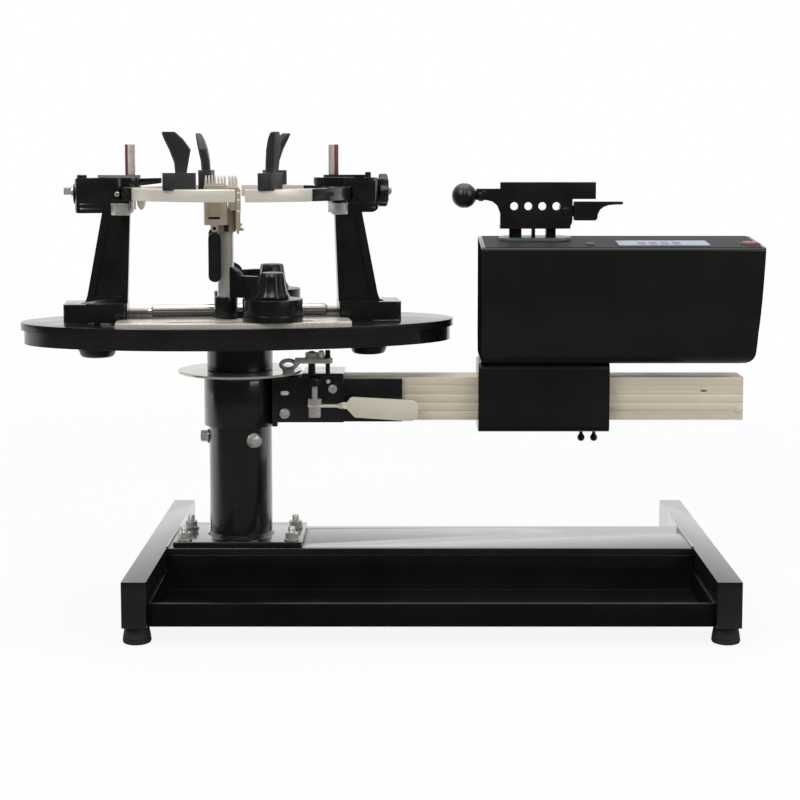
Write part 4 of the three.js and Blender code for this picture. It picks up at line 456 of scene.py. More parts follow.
class Form:
    """A piece while it is made. Sizes are in millimetres, in the part's own terms."""

    def __init__(self, obj: bpy.types.Object) -> None:
        """Takes over a mesh object."""
        self.obj = obj

    @staticmethod
    def clear() -> None:
        """Leaves edit mode and deselects everything."""
        if bpy.context.object and bpy.context.object.mode != "OBJECT":
            bpy.ops.object.mode_set(mode="OBJECT")
        bpy.ops.object.select_all(action="DESELECT")

    @classmethod
    def _chain(cls, points: Sequence[Vector]) -> "Form":
        """Starts a mesh as a chain of points, each drawn out of the one before."""
        cls.clear()
        bpy.ops.mesh.primitive_plane_add(size=MM, location=(0, 0, 0))
        form = cls(bpy.context.object)
        bpy.ops.object.mode_set(mode="EDIT")
        bpy.ops.mesh.merge(type="CENTER")
        bpy.ops.transform.translate(value=points[0])
        for start, end in zip(points, points[1:]):
            bpy.ops.mesh.extrude_vertices_move(TRANSFORM_OT_translate={"value": end - start})
        bpy.ops.mesh.select_all(action="SELECT")
        return form

    @classmethod
    def prism(cls, points: Sequence[Point], low: float, high: float, axis: Axis = Axis.Z) -> "Form":
        """Draws an outline and draws it out along an axis.

        Args:
            points: the outline, in the order x, y, z without the axis.
            low: where it starts along the axis.
            high: where it ends.
            axis: the line it is drawn out along.

        Returns:
            The form.
        """
        form = cls._chain([to_space(p, low, axis) for p in points])
        bpy.ops.mesh.edge_face_add()
        step = to_space((0, 0), high - low, axis)
        bpy.ops.mesh.extrude_region_move(TRANSFORM_OT_translate={"value": step})
        return form._outward()

    @classmethod
    def stack(cls, points: Sequence[Point], levels: Sequence[Triple], axis: Axis = Axis.Z) -> "Form":
        """Draws an outline about the axis out in steps, each drawn larger, smaller or turned.

        Args:
            points: the outline, in the order x, y, z without the axis.
            levels: each step's place along the axis, the outline's scale there and its turn in degrees.
            axis: the line it is drawn out along.

        Returns:
            The form.
        """
        place, scale, turn = levels[0]
        form = cls._chain([to_space((p[0] * scale, p[1] * scale), place, axis) for p in points])
        bpy.ops.mesh.edge_face_add()
        for next_place, next_scale, next_turn in levels[1:]:
            step = to_space((0, 0), next_place - place, axis)
            bpy.ops.mesh.extrude_region_move(TRANSFORM_OT_translate={"value": step})
            middle = to_space((0, 0), next_place, axis)
            if next_scale != scale:
                share = next_scale / scale
                bpy.ops.transform.resize(value=(share, share, share), center_override=middle)
            if next_turn != turn:
                bpy.ops.transform.rotate(value=math.radians(turn - next_turn), orient_axis=axis.name,
                    center_override=middle)
            place, scale, turn = next_place, next_scale, next_turn
        return form._outward()

    @classmethod
    def lathe(cls, profile: Sequence[Point], centre: Triple = (0, 0, 0), axis: Axis = Axis.Z,
            steps: int = 64) -> "Form":
        """Turns a profile about an axis.

        Args:
            profile: pairs of radius and height along the axis, from one end to the other.
            centre: a point on the axis, from which the heights are measured.
            axis: the line it turns about.
            steps: parts of the full turn.

        Returns:
            The form, closed wherever the profile meets the axis.
        """
        middle = vector(*centre)
        form = cls._chain([middle + to_space((radius, 0), height, axis) for radius, height in profile])
        bpy.ops.mesh.spin(steps=steps, angle=2 * math.pi, center=middle, axis=to_space((0, 0), 1 / MM, axis))
        bpy.ops.mesh.select_all(action="SELECT")
        bpy.ops.mesh.remove_doubles(threshold=0.002 * MM)
        return form._outward()

    @classmethod
    def rod(cls, radius: float, low: float, high: float, *place: object, **steps: int) -> "Form":
        """Turns a plain rod between two heights, placed as a lathed form is."""
        return cls.lathe([(0, low), (radius, low), (radius, high), (0, high)], *place, **steps)

    @classmethod
    def ring(cls, profile: Sequence[Point], *place: object, **steps: int) -> "Form":
        """Turns a closed profile, such as a washer or a tube's wall, placed as a lathed form is."""
        return cls.lathe([*profile, profile[0]], *place, **steps)

    @classmethod
    def block(cls, box: Box) -> "Form":
        """Starts a block between two corners.

        Args:
            box: lowest x, y, z and highest x, y, z.

        Returns:
            The form, whose edges are still sharp.
        """
        cls.clear()
        low, high = vector(*box[:3]), vector(*box[3:])
        bpy.ops.mesh.primitive_cube_add(size=1, location=(low + high) / 2)
        form = cls(bpy.context.object)
        bpy.ops.object.mode_set(mode="EDIT")
        bpy.ops.transform.resize(value=high - low)
        bpy.ops.object.mode_set(mode="OBJECT")
        bpy.ops.object.transform_apply(location=True, rotation=True, scale=True)
        return form

    @classmethod
    def tube(cls, path: Sequence[Triple], radius: float, sides: int = 16, smooth: int = 1) -> "Form":
        """Bends a round bar along a path.

        Args:
            path: its middle line.
            radius: of the bar.
            sides: of its section.
            smooth: how often the bends are subdivided.

        Returns:
            The form, with closed ends.
        """
        form = cls._chain([vector(*p) for p in path])
        bpy.ops.object.mode_set(mode="OBJECT")
        if smooth:
            form._modify("SUBSURF", levels=smooth, render_levels=smooth)
        bpy.ops.object.convert(target="CURVE")
        form.obj = bpy.context.object
        form.obj.data.bevel_depth = radius * MM
        form.obj.data.bevel_resolution = max(1, sides // 4 - 1)
        form.obj.data.use_fill_caps = True
        bpy.ops.object.convert(target="MESH")
        form.obj = bpy.context.object
        bpy.ops.object.mode_set(mode="EDIT")
        bpy.ops.mesh.select_all(action="SELECT")
        bpy.ops.mesh.remove_doubles(threshold=0.002 * MM)
        return form._outward()

    @classmethod
    def of_node(cls, name: str) -> "Form":
        """Copies a CAD node's mesh, merges its loose triangles and melts its flat ones together.

        Args:
            name: the node.

        Returns:
            The form, already in its place in the row frame.
        """
        cls.clear()
        obj = frame["nodes"][name].copy()
        obj.data = obj.data.copy()
        obj.data.materials.clear()
        obj.parent = None
        obj.matrix_world = Matrix.Identity(4)
        bpy.context.scene.collection.objects.link(obj)
        obj.select_set(True)
        bpy.context.view_layer.objects.active = obj
        bpy.ops.object.mode_set(mode="EDIT")
        bpy.ops.mesh.select_all(action="SELECT")
        bpy.ops.mesh.remove_doubles(threshold=0.003 * MM)
        bpy.ops.mesh.dissolve_limited(angle_limit=math.radians(1.5))
        return cls(obj)._outward()

    def from_row(self, part: Part = Part.FIXED) -> "Form":
        """Takes a node's copy back from the row frame to the frame it was drawn in."""
        self.move(-COLUMN_X)
        if part is Part.TABLE:
            self.place(Matrix.Rotation(-TABLE_TURN, 4, "Z"))
        return self

    def _outward(self) -> "Form":
        """Points every face outwards and leaves edit mode."""
        bpy.ops.mesh.select_all(action="SELECT")
        bpy.ops.mesh.normals_make_consistent(inside=False)
        bpy.ops.object.mode_set(mode="OBJECT")
        return self

    def _hold(self) -> None:
        """Selects this form alone and makes it active."""
        self.clear()
        self.obj.select_set(True)
        bpy.context.view_layer.objects.active = self.obj

    def _modify(self, kind: str, **settings: object) -> "Form":
        """Adds a modifier with its settings and applies it."""
        self._hold()
        modifier = self.obj.modifiers.new(kind.lower(), kind)
        for key, value in settings.items():
            setattr(modifier, key, value)
        bpy.ops.object.modifier_apply(modifier=modifier.name)
        return self

    def bevel(self, width: float, segments: int = 2, angle: float = 32) -> "Form":
        """Rounds the edges that are sharper than an angle.

        Args:
            width: of the rounding.
            segments: faces across it.
            angle: in degrees.

        Returns:
            The form.
        """
        return self._modify("BEVEL", width=width * MM, segments=segments, limit_method="ANGLE",
            angle_limit=math.radians(angle), harden_normals=False)

    def drop(self) -> None:
        """Removes the form."""
        bpy.data.objects.remove(self.obj)

    def _boolean(self, operation: str, others: Sequence["Form"]) -> "Form":
        """Works others into the form by a boolean operation and removes them."""
        for other in others:
            self._modify("BOOLEAN", operation=operation, object=other.obj, solver="EXACT")
            other.drop()
        return self

    def cut(self, *cutters: "Form") -> "Form":
        """Takes the cutters' shapes out of the form."""
        return self._boolean("DIFFERENCE", cutters)

    def fuse(self, *others: "Form") -> "Form":
        """Makes one closed body of this form and others that touch it."""
        return self._boolean("UNION", others)

    def join(self, *others: "Form") -> "Form":
        """Makes one object of this form and others."""
        self._hold()
        for other in others:
            other.obj.select_set(True)
        bpy.ops.object.join()
        return self

    def copy(self) -> "Form":
        """Returns a copy with its own mesh."""
        self.clear()
        obj = self.obj.copy()
        obj.data = obj.data.copy()
        bpy.context.scene.collection.objects.link(obj)
        return Form(obj)

    def place(self, matrix: Matrix) -> "Form":
        """Moves the form by a matrix and puts the move into its mesh."""
        self._hold()
        self.obj.matrix_world = matrix @ self.obj.matrix_world
        bpy.ops.object.transform_apply(location=True, rotation=True, scale=True)
        if matrix.determinant() < 0:
            bpy.ops.object.mode_set(mode="EDIT")
            self._outward()
        return self

    def move(self, x: float = 0, y: float = 0, z: float = 0) -> "Form":
        """Moves the form by a distance."""
        return self.place(Matrix.Translation(vector(x, y, z)))

    def turn(self, angle: float, axis: Axis = Axis.Z, centre: Triple = (0, 0, 0)) -> "Form":
        """Turns the form.

        Args:
            angle: in degrees.
            axis: the line it turns about.
            centre: a point on that line.

        Returns:
            The form.
        """
        middle = Matrix.Translation(vector(*centre))
        spin = Matrix.Rotation(math.radians(angle), 4, axis.name)
        return self.place(middle @ spin @ middle.inverted())

    def mirror_y(self) -> "Form":
        """Turns the form over to the other side of the middle plane."""
        return self.place(Matrix.Scale(-1, 4, (0, 1, 0)))

    def done(self, name: str, finish: Finish, body: str, *nodes: str, slot: str = "", in_row: bool = False,
            smooth: float = 32) -> None:
        """Finishes the piece: its place, surface, body and the nodes it stands for.

        Args:
            name: the piece's name.
            finish: its surface.
            body: the CAD body it rides on.
            nodes: CAD nodes that it stands for, which aren't shown any more.
            slot: not used.
            in_row: whether it already stands in the row frame.
            smooth: the angle up to which its faces shade as one.
        """
        if not in_row and Part.of(body) is Part.TABLE:
            self.place(Matrix.Rotation(TABLE_TURN, 4, "Z"))
        if not in_row:
            self.move(COLUMN_X)
        self._hold()
        bpy.ops.object.shade_smooth_by_angle(angle=math.radians(smooth))
        self.obj.name = self.obj.data.name = name
        self.obj.data.materials.clear()
        self.obj.data.materials.append(finish.material())
        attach(self.obj, body)
        if nodes:
            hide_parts(*nodes)
        LOG.info("%s: %d faces, rides on %s", name, len(self.obj.data.polygons), body)


# ---------------------------------------------------------------- sub-assemblies

def dressed(node: str, finish: Finish, body: str, edge: float = 0.8, segments: int = 2,
        slot: str = "") -> None:
    """Makes a piece from a CAD node whose shape is right, with softened edges.

    Args:
        node: the CAD node.
        finish: its surface.
        body: the body it rides on.
        edge: width of the softened edges.
        segments: faces across an edge.
        slot: its material slot, where it isn't the finish's own.
    """
    Form.of_node(node).bevel(edge, segments).done(f"{node}_body", finish, body, node, slot=slot, in_row=True)


@dataclass(frozen=True)
class Bolt:
    """A hexagon bolt or a nut on a stud, standing along +Z from z = 0."""

    across: float = 13
    height: float = 6.5
    stud_radius: float = 4
    stud_length: float = 0
    washer_radius: float = 8.5
    washer_thickness: float = 1.6
    pitch: float = 1.25

    def build(self) -> Form:
        """Makes the washer, the hexagon with its rounded corners, and the threaded stud.

        Returns:
            The bolt as one form.
        """
        low = self.washer_thickness
        top = low + self.height
        washer = Form.rod(self.washer_radius, 0, low, steps=40).bevel(0.25, 1)
        nut = Form.prism(hexagon(self.across), low, top).bevel(0.3, 1)
        corner = self.across / math.sqrt(3)
        crown = Form.ring([(self.across / 2 * 0.97, top + 0.01), (corner + 1, top - 1.1),
            (corner + 1, top + 2), (0.2, top + 2), (0.2, top + 0.01)], steps=48)
        nut.cut(crown)
        parts = [nut]
        if self.stud_length:
            parts.append(self._stud(top - 0.2, top + self.stud_length))
        return washer.join(*parts)

    def _stud(self, low: float, high: float) -> Form:
        """Makes the threaded end, its ridges turned round the stud."""
        crest, root = self.stud_radius, self.stud_radius - 0.45
        profile = [(0, low), (root, low)]
        z = low + 0.3
        while z + self.pitch < high - 0.8:
            profile += [(root, z), (crest, z + self.pitch / 2)]
            z += self.pitch
        profile += [(root, high - 0.5), (root - 0.5, high), (0, high)]
        return Form.lathe(profile, steps=28)


@dataclass
class BaseFrame:
    """The two legs, the channel, the tray and the four feet."""

    foot_radius: float = 14.5
    foot_top_radius: float = 12
    foot_height: float = 19.2

    def build(self) -> None:
        """Makes the steelwork and the feet."""
        for node in ("left_leg", "right_leg"):
            dressed(node, SATIN_PAINT, "base", 1.3, 3)
        dressed("cross_channel", SATIN_PAINT, "base", 0.5, 2)
        dressed("tool_tray", TRAY_PAINT, "base", 0.35)
        self._feet()
        self._welds()

    def _feet(self) -> None:
        """Turns the rubber foot once, with its groove and drawn-in waist, and copies it."""
        radius, top = self.foot_radius, self.foot_height
        foot = Form.lathe([(0, 0), (radius - 2.4, 0), (radius - 0.7, 0.7), (radius, 2.4), (radius, 4.2),
            (radius - 0.9, 4.8), (radius - 0.9, 5.6), (radius - 0.3, 6.2),
            (self.foot_top_radius + 0.2, top - 1.6), (self.foot_top_radius - 0.8, top), (4, top),
            (4, top + 7.6), (0, top + 7.6)], steps=56)
        for node in ("front_left_foot", "front_right_foot", "rear_left_foot", "rear_right_foot"):
            low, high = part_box(node)
            copy = foot.copy().place(Matrix.Translation(((low[0] + high[0]) / 2, (low[1] + high[1]) / 2, 0)))
            copy.done(f"{node}_rubber", RUBBER, "base", node, in_row=True)
        foot.drop()

    def _welds(self) -> None:
        """Lays the weld beads where the channel meets the legs."""
        for x, side in ((-76.2, 1), (493.2, -1)):
            path = [(x + side * 0.5, -52, 66.9), (x + side * 0.4, -20, 66.8), (x + side * 0.55, 10, 66.9),
                (x + side * 0.4, 52, 66.8)]
            bead = Form.tube(path, 1.3, 12, 2)
            bead.done(f"leg_weld_{'left' if side > 0 else 'right'}", SATIN_PAINT, "base")


@dataclass
class Column:
    """The tube on its plate, with the bolts through the channel and under the collar."""

    radius: float = 34.5
    wall: float = 3.5
    plate_low: float = 66.8
    plate_high: float = 72.3
    top: float = 248.1
    plate_half: Point = (70, 50)
    bolt_spacing: float = 117
    bolt_front: float = -38
    bolt_rear: float = 23
    support_z: float = 180.3
    support_turns: tuple[float, ...] = (-61, 59, 179)

    def build(self) -> None:
        """Makes the plate, the tube and the bolts."""
        half_x, half_y = self.plate_half
        plate = Form.prism(round_box((-half_x, -half_y), (half_x, half_y), 2.5), self.plate_low,
            self.plate_high).bevel(0.8, 3)
        plate.done("column_plate", SATIN_PAINT, "base", "column")
        inner, low = self.radius - self.wall, self.plate_high - 0.2
        tube = Form.ring([(inner, low), (self.radius, low), (self.radius, self.top - 0.6),
            (self.radius - 0.6, self.top), (inner + 0.4, self.top), (inner, self.top - 0.4)], steps=112)
        tube.done("column_tube", SATIN_PAINT, "base")
        fillet = Form.ring([(self.radius - 0.2, low), (self.radius + 3.2, low),
            (self.radius + 2.2, low + 1.0), (self.radius + 0.9, low + 2.3), (self.radius - 0.2, low + 3.4)],
            steps=112)
        fillet.done("column_weld", SATIN_PAINT, "base")
        self._base_bolts()
        self._support_bolts()

    def _base_bolts(self) -> None:
        """Stands a nut on a long stud at each side of the tube's front and rear."""
        bolt = Bolt(stud_length=6.4).build()
        for i, (sx, sy) in enumerate(((-1, -1), (1, -1), (-1, 1), (1, 1))):
            copy = bolt.copy().turn(17 * i)
            copy.move(sx * self.bolt_spacing / 2, self.bolt_front if sy < 0 else self.bolt_rear,
                self.plate_high)
            copy.done(f"base_bolt_{i + 1}", ZINC_PLATE, "base", slot="painted_steel")
        bolt.drop()

    def _support_bolts(self) -> None:
        """Sets the three bolts that stick out of the tube under the collar."""
        for i, turn in enumerate(self.support_turns):
            bolt = Bolt(across=11.2, height=7.5, washer_radius=8, washer_thickness=2).build()
            bolt.turn(90, Axis.Y).move(self.radius - 0.1, 0, self.support_z).turn(turn)
            bolt.done(f"collar_bolt_{i + 1}", ZINC_PLATE, "base", slot="painted_steel")


@dataclass
class ArmBracket:
    """The collar on the column, the box beside it and the rail that it holds."""

    front_y: float = -30
    box_low: float = 200.2
    rail_front: float = -20
    box_from: float = 43
    cap_box: Box = (69.6, -30, 249.4, 115, 30, 253.6)
    rail_slot: tuple[Point, Point] = ((504, 232), (510.5, 234.6))

    def build(self) -> None:
        """Makes the bracket, the rail and the fittings on them."""
        body = Form.of_node("arm_bracket").from_row()
        body.cut(Form.block((self.box_from, -60, 150, 180, 60, self.box_low)))
        body.bevel(0.9).done("arm_bracket_body", SATIN_PAINT, "base", "arm_bracket")
        dressed("spindle_bearing", ZINC_PLATE, "base", 0.5, 2)
        self._rail()
        self._front_fittings()
        self._stud_lug()
        x0, y0, low, x1, y1, high = self.cap_box
        cap = Form.prism(round_box((x0, y0), (x1, y1), 1.5), low, high).bevel(0.8)
        cap.done("bracket_cap", SATIN_PAINT, "base")

    def _rail(self) -> None:
        """Cuts the small slot into the rail's front and rounds its edges."""
        rail = Form.of_node("rail").from_row()
        rail.cut(Form.prism(round_box(*self.rail_slot, 1.2), self.rail_front - 2, self.rail_front + 4,
            Axis.Y)).bevel(0.35)
        rail.done("rail_body", RAIL_ALUMINIUM, "base", "rail")

    def _front_fittings(self) -> None:
        """Fits the slot plate, the adjusting bolt, the round head and the white pin."""
        y = self.front_y
        slot = Form.prism(round_box((46.7, 230.2), (55.7, 234.6), 2.1), y - 1.2, y + 0.4, Axis.Y)
        slot.bevel(0.4).done("bracket_slot_plate", LEVER_PLATE, "base")
        bolt = Bolt(across=9.5, height=5, washer_radius=5.6, washer_thickness=1.2, stud_radius=3,
            stud_length=1.5).build()
        bolt.turn(90, Axis.X).move(51, y, 210).done("bracket_adjusting_bolt", ZINC_PLATE, "base")
        head = Form.lathe([(0, 1), (4.7, 1), (4.9, 0.4), (4.9, -1.6), (4.1, -2.6), (2.6, -3.1), (2.1, -2.2),
            (0, -2.2)], (103, y, 237.1), Axis.Y, 40)
        head.done("bracket_round_screw", ZINC_PLATE, "base")
        pin = Form.lathe([(0, 1), (2.2, 1), (2.3, 0), (2.3, -2.4), (1.7, -3.1), (0, -3.2)], (98.2, y, 245.4),
            Axis.Y, 28)
        pin.done("bracket_pin", LEVER_PLATE, "base")

    def _stud_lug(self) -> None:
        """Makes the lug on the bracket's front that holds the lever's stud."""
        x, y = LEVER_STUD
        lug = Form.prism([*ring_points(7.2, 13, (x, y), 180, 180), (x + 7.2, self.front_y + 0.5),
            (x - 7.2, self.front_y + 0.5)], 241.4, 249.4)
        lug.cut(Form.rod(3.9, 235, 252, (x, y, 0), steps=32))
        lug.bevel(0.5).done("brake_stud_lug", KNOB_PLASTIC, "base", slot="painted_steel")


@dataclass
class Brake:
    """The caliper over the disc's edge and the lever that works it."""

    bar_y: float = -23
    bar_half: float = 6
    bar_low: float = 264.3
    bar_high: float = 269.8
    nut_x: float = 80.2
    bolt_x: float = 97.6
    box_top: float = 249.9

    def build(self) -> None:
        """Makes the caliper and the lever."""
        self._caliper()
        self._lever()

    def _caliper(self) -> None:
        """Makes the bar with its bent eye, the shoe under it, the stud with its nuts and the bolt."""
        y, half = self.bar_y, self.bar_half
        bar = Form.prism([(62, y - half), (98, y - half), *ring_points(half, 9, (97, y), -75, 150),
            (98, y + half), (62, y + half)], self.bar_low, self.bar_high).bevel(0.6)
        bar.done("brake_bar", ZINC_PLATE, "base", "brake_caliper")
        path = [(54.7 + 8 * math.cos(t), y, 262.6 + 4.7 * math.sin(t)) for t in (math.radians(20 + 20 * i)
            for i in range(17))]
        eye = Form.tube([(66, y, 267), *path, (66, y, 265.6)], 2.4, 16, 1)
        eye.done("brake_eye", POLISHED_STEEL, "base", slot="zinc_steel")
        shoe = Form.block((48.5, y - 5, 255.1, 61.5, y + 5, 257.2)).bevel(0.5)
        shoe.done("brake_shoe", ZINC_PLATE, "base")
        stud = Form.lathe([(0, self.box_top), (6, self.box_top), (6, self.box_top + 2.4),
            (4.2, self.box_top + 3), (3.9, self.bar_low + 0.3), (0, self.bar_low + 0.3)], (self.nut_x, y, 0),
            steps=36)
        stud.done("brake_stud", SATIN_PAINT, "base")
        nut = Bolt(across=12.6, height=5.2, washer_radius=7.4, washer_thickness=1.2, stud_radius=3.6,
            stud_length=1.4).build()
        nut.move(self.nut_x, y, self.bar_high).done("brake_nut", ZINC_PLATE, "base")
        cap = Form.lathe([(0, 0), (3.7, 0), (3.7, 4.6), (3.2, 7), (1.8, 8.3), (0, 8.6)],
            (90.6, y, self.bar_high), steps=32)
        cap.done("brake_cap_nut", LEVER_PLATE, "base")
        bolt = Form.lathe([(0, self.box_top), (3.1, self.box_top), (3.1, 253.4), (2.5, 253.9), (2.5, 263.6),
            (3.3, 263.9), (3.3, 272.2), (2.9, 272.8), (2.9, 278), (2.3, 278.6), (0, 278.6)],
            (self.bolt_x, y, 0), steps=28)
        bolt.done("brake_stop_bolt", SATIN_PAINT, "base")

    def _lever(self) -> None:
        """Makes the stud with its knurled nut, the flat bar that twists and the broad plate."""
        x, y = LEVER_STUD
        stud = Form.lathe([(0, 207.2), (6, 207.2), (6.8, 207.9), (6.8, 217.6), (6.2, 218.2), (3.1, 218.3),
            (3.1, 248.4), (2.6, 249), (0, 249)], (x, y, 0), steps=40)
        stud.done("lever_stud", ZINC_PLATE, "brake_lever", "brake_lever")
        nut = Form.stack(fluted(7.3, 22, 0.5, 4), [(221.2, 0.94, 0), (221.7, 1, 0), (226.7, 1, 0),
            (227.3, 0.9, 0)])
        nut.move(x, y).done("lever_knurled_nut", ZINC_PLATE, "brake_lever")
        bar = Form.prism([*ring_points(3.5, 9, (x - 4.2, y), 90, 180), (x + 25, y - 3.5), (x + 25, y + 3.5)],
            218.2, 221.2).bevel(0.5)
        section = [(-3.5, -1.5), (3.5, -1.5), (3.5, 1.5), (-3.5, 1.5)]
        twist = Form.stack(section, [(x + 24.4 + 1.35 * i, 1, 11.25 * i) for i in range(9)], Axis.X)
        twist.move(0, y, 219.7)
        plate = Form.prism([(x + 34.4, 216.3), (x + 43.2, 206.9), (x + 96, 203.2), *ring_points(8, 6,
            (x + 104, 211.2), -90, 90), *ring_points(8, 6, (x + 104, 217.8), 0, 90), (x + 96, 226.4),
            (x + 41.4, 229.4), (x + 38.6, 228.6), (x + 34.4, 223.1)], y - 1.5, y + 1.5, Axis.Y).bevel(0.5)
        bar.join(twist, plate).done("lever_plate", LEVER_PLATE, "brake_lever")


@dataclass
class Turntable:
    """The casting with its sunk tracks, the hub, the brake disc and the drive screw."""

    semi_length: float = 236
    semi_width: float = 105
    bottom: float = 286.7
    top: float = 309.7
    lip: float = 7.7
    overhang: float = 3.5
    track_top: float = 314.5
    track_low: float = 305.1
    rim_inset: float = 9
    track_left: float = 131
    track_right: float = 117
    track_inner: float = 36
    track_round: float = 14
    rim_wall: float = 12
    pockets: int = 6
    pocket_inner: float = 38
    pocket_depth: float = 8
    stud_slots: tuple[Point, ...] = ((-184.5, -151.5), (139, 172))
    slot_y: float = 69
    slot_half: float = 78
    slot_width: float = 11
    screw_z: float = 320

    def _ellipse(self, inset: float, count: int = 168) -> list[Point]:
        """Returns the rim's outline, drawn in by an inset."""
        return [((self.semi_length - inset) * x, (self.semi_width - inset) * y)
            for x, y in ring_points(1, count)]

    def build(self) -> None:
        """Makes each part of the turntable."""
        self._casting()
        self._tracks()
        self._spindle()
        self._drive_screw()

    def _casting(self) -> None:
        """Makes the oval casting: wall, lip, track seats, stud slots, pockets and screw saddle."""
        lip_low = self.top - self.lip
        plate = Form.prism(self._ellipse(self.overhang), self.bottom, self.top - 1)
        lip = Form.prism(self._ellipse(0), lip_low, self.top)
        plate.fuse(lip)
        for side in (1, -1):
            plate.cut(Form.prism(self._track_plan(-0.3, side), self.track_low - 0.3, self.top + 2))
        for low, high in self.stud_slots:
            plate.cut(Form.prism(round_box((low - 4.4, -4.4), (high + 4.4, 4.4), 4.3), self.bottom - 2,
                self.top + 2))
        reach = self.semi_length - self.rim_wall
        step = 2 * reach / self.pockets
        for side in (1, -1):
            for i in range(self.pockets):
                plate.cut(self._pocket(-reach + step * i + 4, step - 8, side))
        plate.bevel(1.1, 3, 40)
        plate.done("turntable_casting", CAST_PAINT, "turntable", "turntable_plate", smooth=28)
        saddle = Form.block((-13, -12, self.top - 0.3, 13, 12, self.screw_z))
        saddle.cut(Form.rod(7.35, -30, 30, (0, 0, self.screw_z), Axis.X, 40))
        saddle.bevel(0.8).done("screw_saddle", CAST_PAINT, "turntable")

    def _pocket(self, start: float, length: float, side: int) -> Form:
        """Makes one of the pockets under the casting, which end at its curved rim."""
        a, b, inner = self.semi_length - self.rim_wall, self.semi_width - self.rim_wall, self.pocket_inner
        reach = [start + length * i / 12 for i in range(13)]
        rim = [(x, b * math.sqrt(max(0.0, 1 - (x / a) ** 2))) for x in reach]
        rim = [(x, y) for x, y in rim if y > inner + 0.5]
        points = [(x, side * y) for x, y in ((rim[0][0], inner), (rim[-1][0], inner), *reversed(rim))]
        return Form.prism(points, self.bottom - 2, self.bottom + self.pocket_depth)

    def _track_plan(self, inset: float, side: int) -> list[Point]:
        """Returns a track's outline: straight inside, the rim's curve outside."""
        a, b = self.semi_length - self.rim_inset - inset, self.semi_width - self.rim_inset - inset
        left, right, inner = self.track_left - inset, self.track_right - inset, self.track_inner + inset
        r = self.track_round
        corner_left = ring_points(r, 6, (-left + r, inner + r), 180, 90)
        corner_right = ring_points(r, 6, (right - r, inner + r), 270, 90)
        arc = []
        for i in range(41):
            x = right - (left + right) * i / 40
            arc.append((x, b * math.sqrt(1 - (x / a) ** 2)))
        return [(x, side * y) for x, y in (*corner_left, *corner_right, *arc)]

    def _tracks(self) -> None:
        """Makes the two slotted track plates."""
        for name, side in (("front_track", -1), ("rear_track", 1)):
            plan = Form.prism(self._track_plan(0, side), self.track_low, self.track_top)
            half, width = self.slot_half, self.slot_width / 2
            slot = round_box((-half, self.slot_y - width), (half, self.slot_y + width), width - 0.02, 10)
            plan.cut(Form.prism([(x, side * y) for x, y in slot], self.track_low - 2, self.track_top + 2))
            plan.bevel(0.8, 3, 40)
            plan.done(f"{name}_plate", TRACK_STEEL, "turntable", name)

    def _spindle(self) -> None:
        """Turns the hub and the brake disc."""
        hub = Form.ring([(12.8, 255), (35.4, 255), (36, 255.6), (36, 278.6), (38, 280.4), (45.3, 280.4),
            (46, 281.1), (46, 285.8), (45.4, 286.4), (12.8, 286.4)], steps=96)
        hub.done("turntable_hub_body", CAST_PAINT, "turntable", "turntable_hub", slot="painted_steel")
        disc = Form.ring([(12.8, 252.1), (67.5, 252.1), (68, 252.5), (68, 254.3), (67.5, 254.7),
            (12.8, 254.7)], steps=160)
        disc.done("brake_disc_plate", POLISHED_STEEL, "turntable", "brake_disc")

    def _drive_screw(self) -> None:
        """Turns the screw: a polished barrel with collars, and a threaded end on each side."""
        left, right = -188.5, 176.0
        profile: list[Point] = [(0, left), (3.1, left), (3.7, left + 0.8)]
        profile += self._thread(left + 1, -97)
        profile += [(4, -96), (6.2, -95.2), (7, -94.2), (7, -18.8), (9, -18.2), (9, -13.9), (8.4, -13.4),
            (7, -13.4), (7, 13.4), (8.4, 13.4), (9, 13.9), (9, 18.2), (7, 18.8), (7, 94.2), (6.2, 95.2),
            (4, 96)]
        profile += self._thread(97, right - 1)
        profile += [(3.7, right - 0.8), (3.1, right), (0, right)]
        screw = Form.lathe(profile, (0, 0, self.screw_z), Axis.X, 32)
        screw.done("drive_screw_bar", CHROME_TUBE, "drive_screw", "drive_screw")

    def _thread(self, low: float, high: float, pitch: float = 3.0) -> list[Point]:
        """Returns the profile of a square thread between two heights."""
        points = []
        for i in range(int((high - low) / pitch)):
            x = low + pitch * i
            points += [(3.5, x), (4, x + 0.35), (4, x + pitch / 2), (3.5, x + pitch / 2 + 0.35)]
        return points


@dataclass(frozen=True)
class PostSide:
    """Where one post's own pieces lie along the table."""

    name: str
    side: int
    outer: float
    nut_x: float
    nut_across: float
    screw_x: float
    # where the yoke's root, painted black, begins: partly a black block, partly painted shade.
    root_from: float
    pad: Point
    cap: Triple
    lock_x: float
    cap_y: float = 0


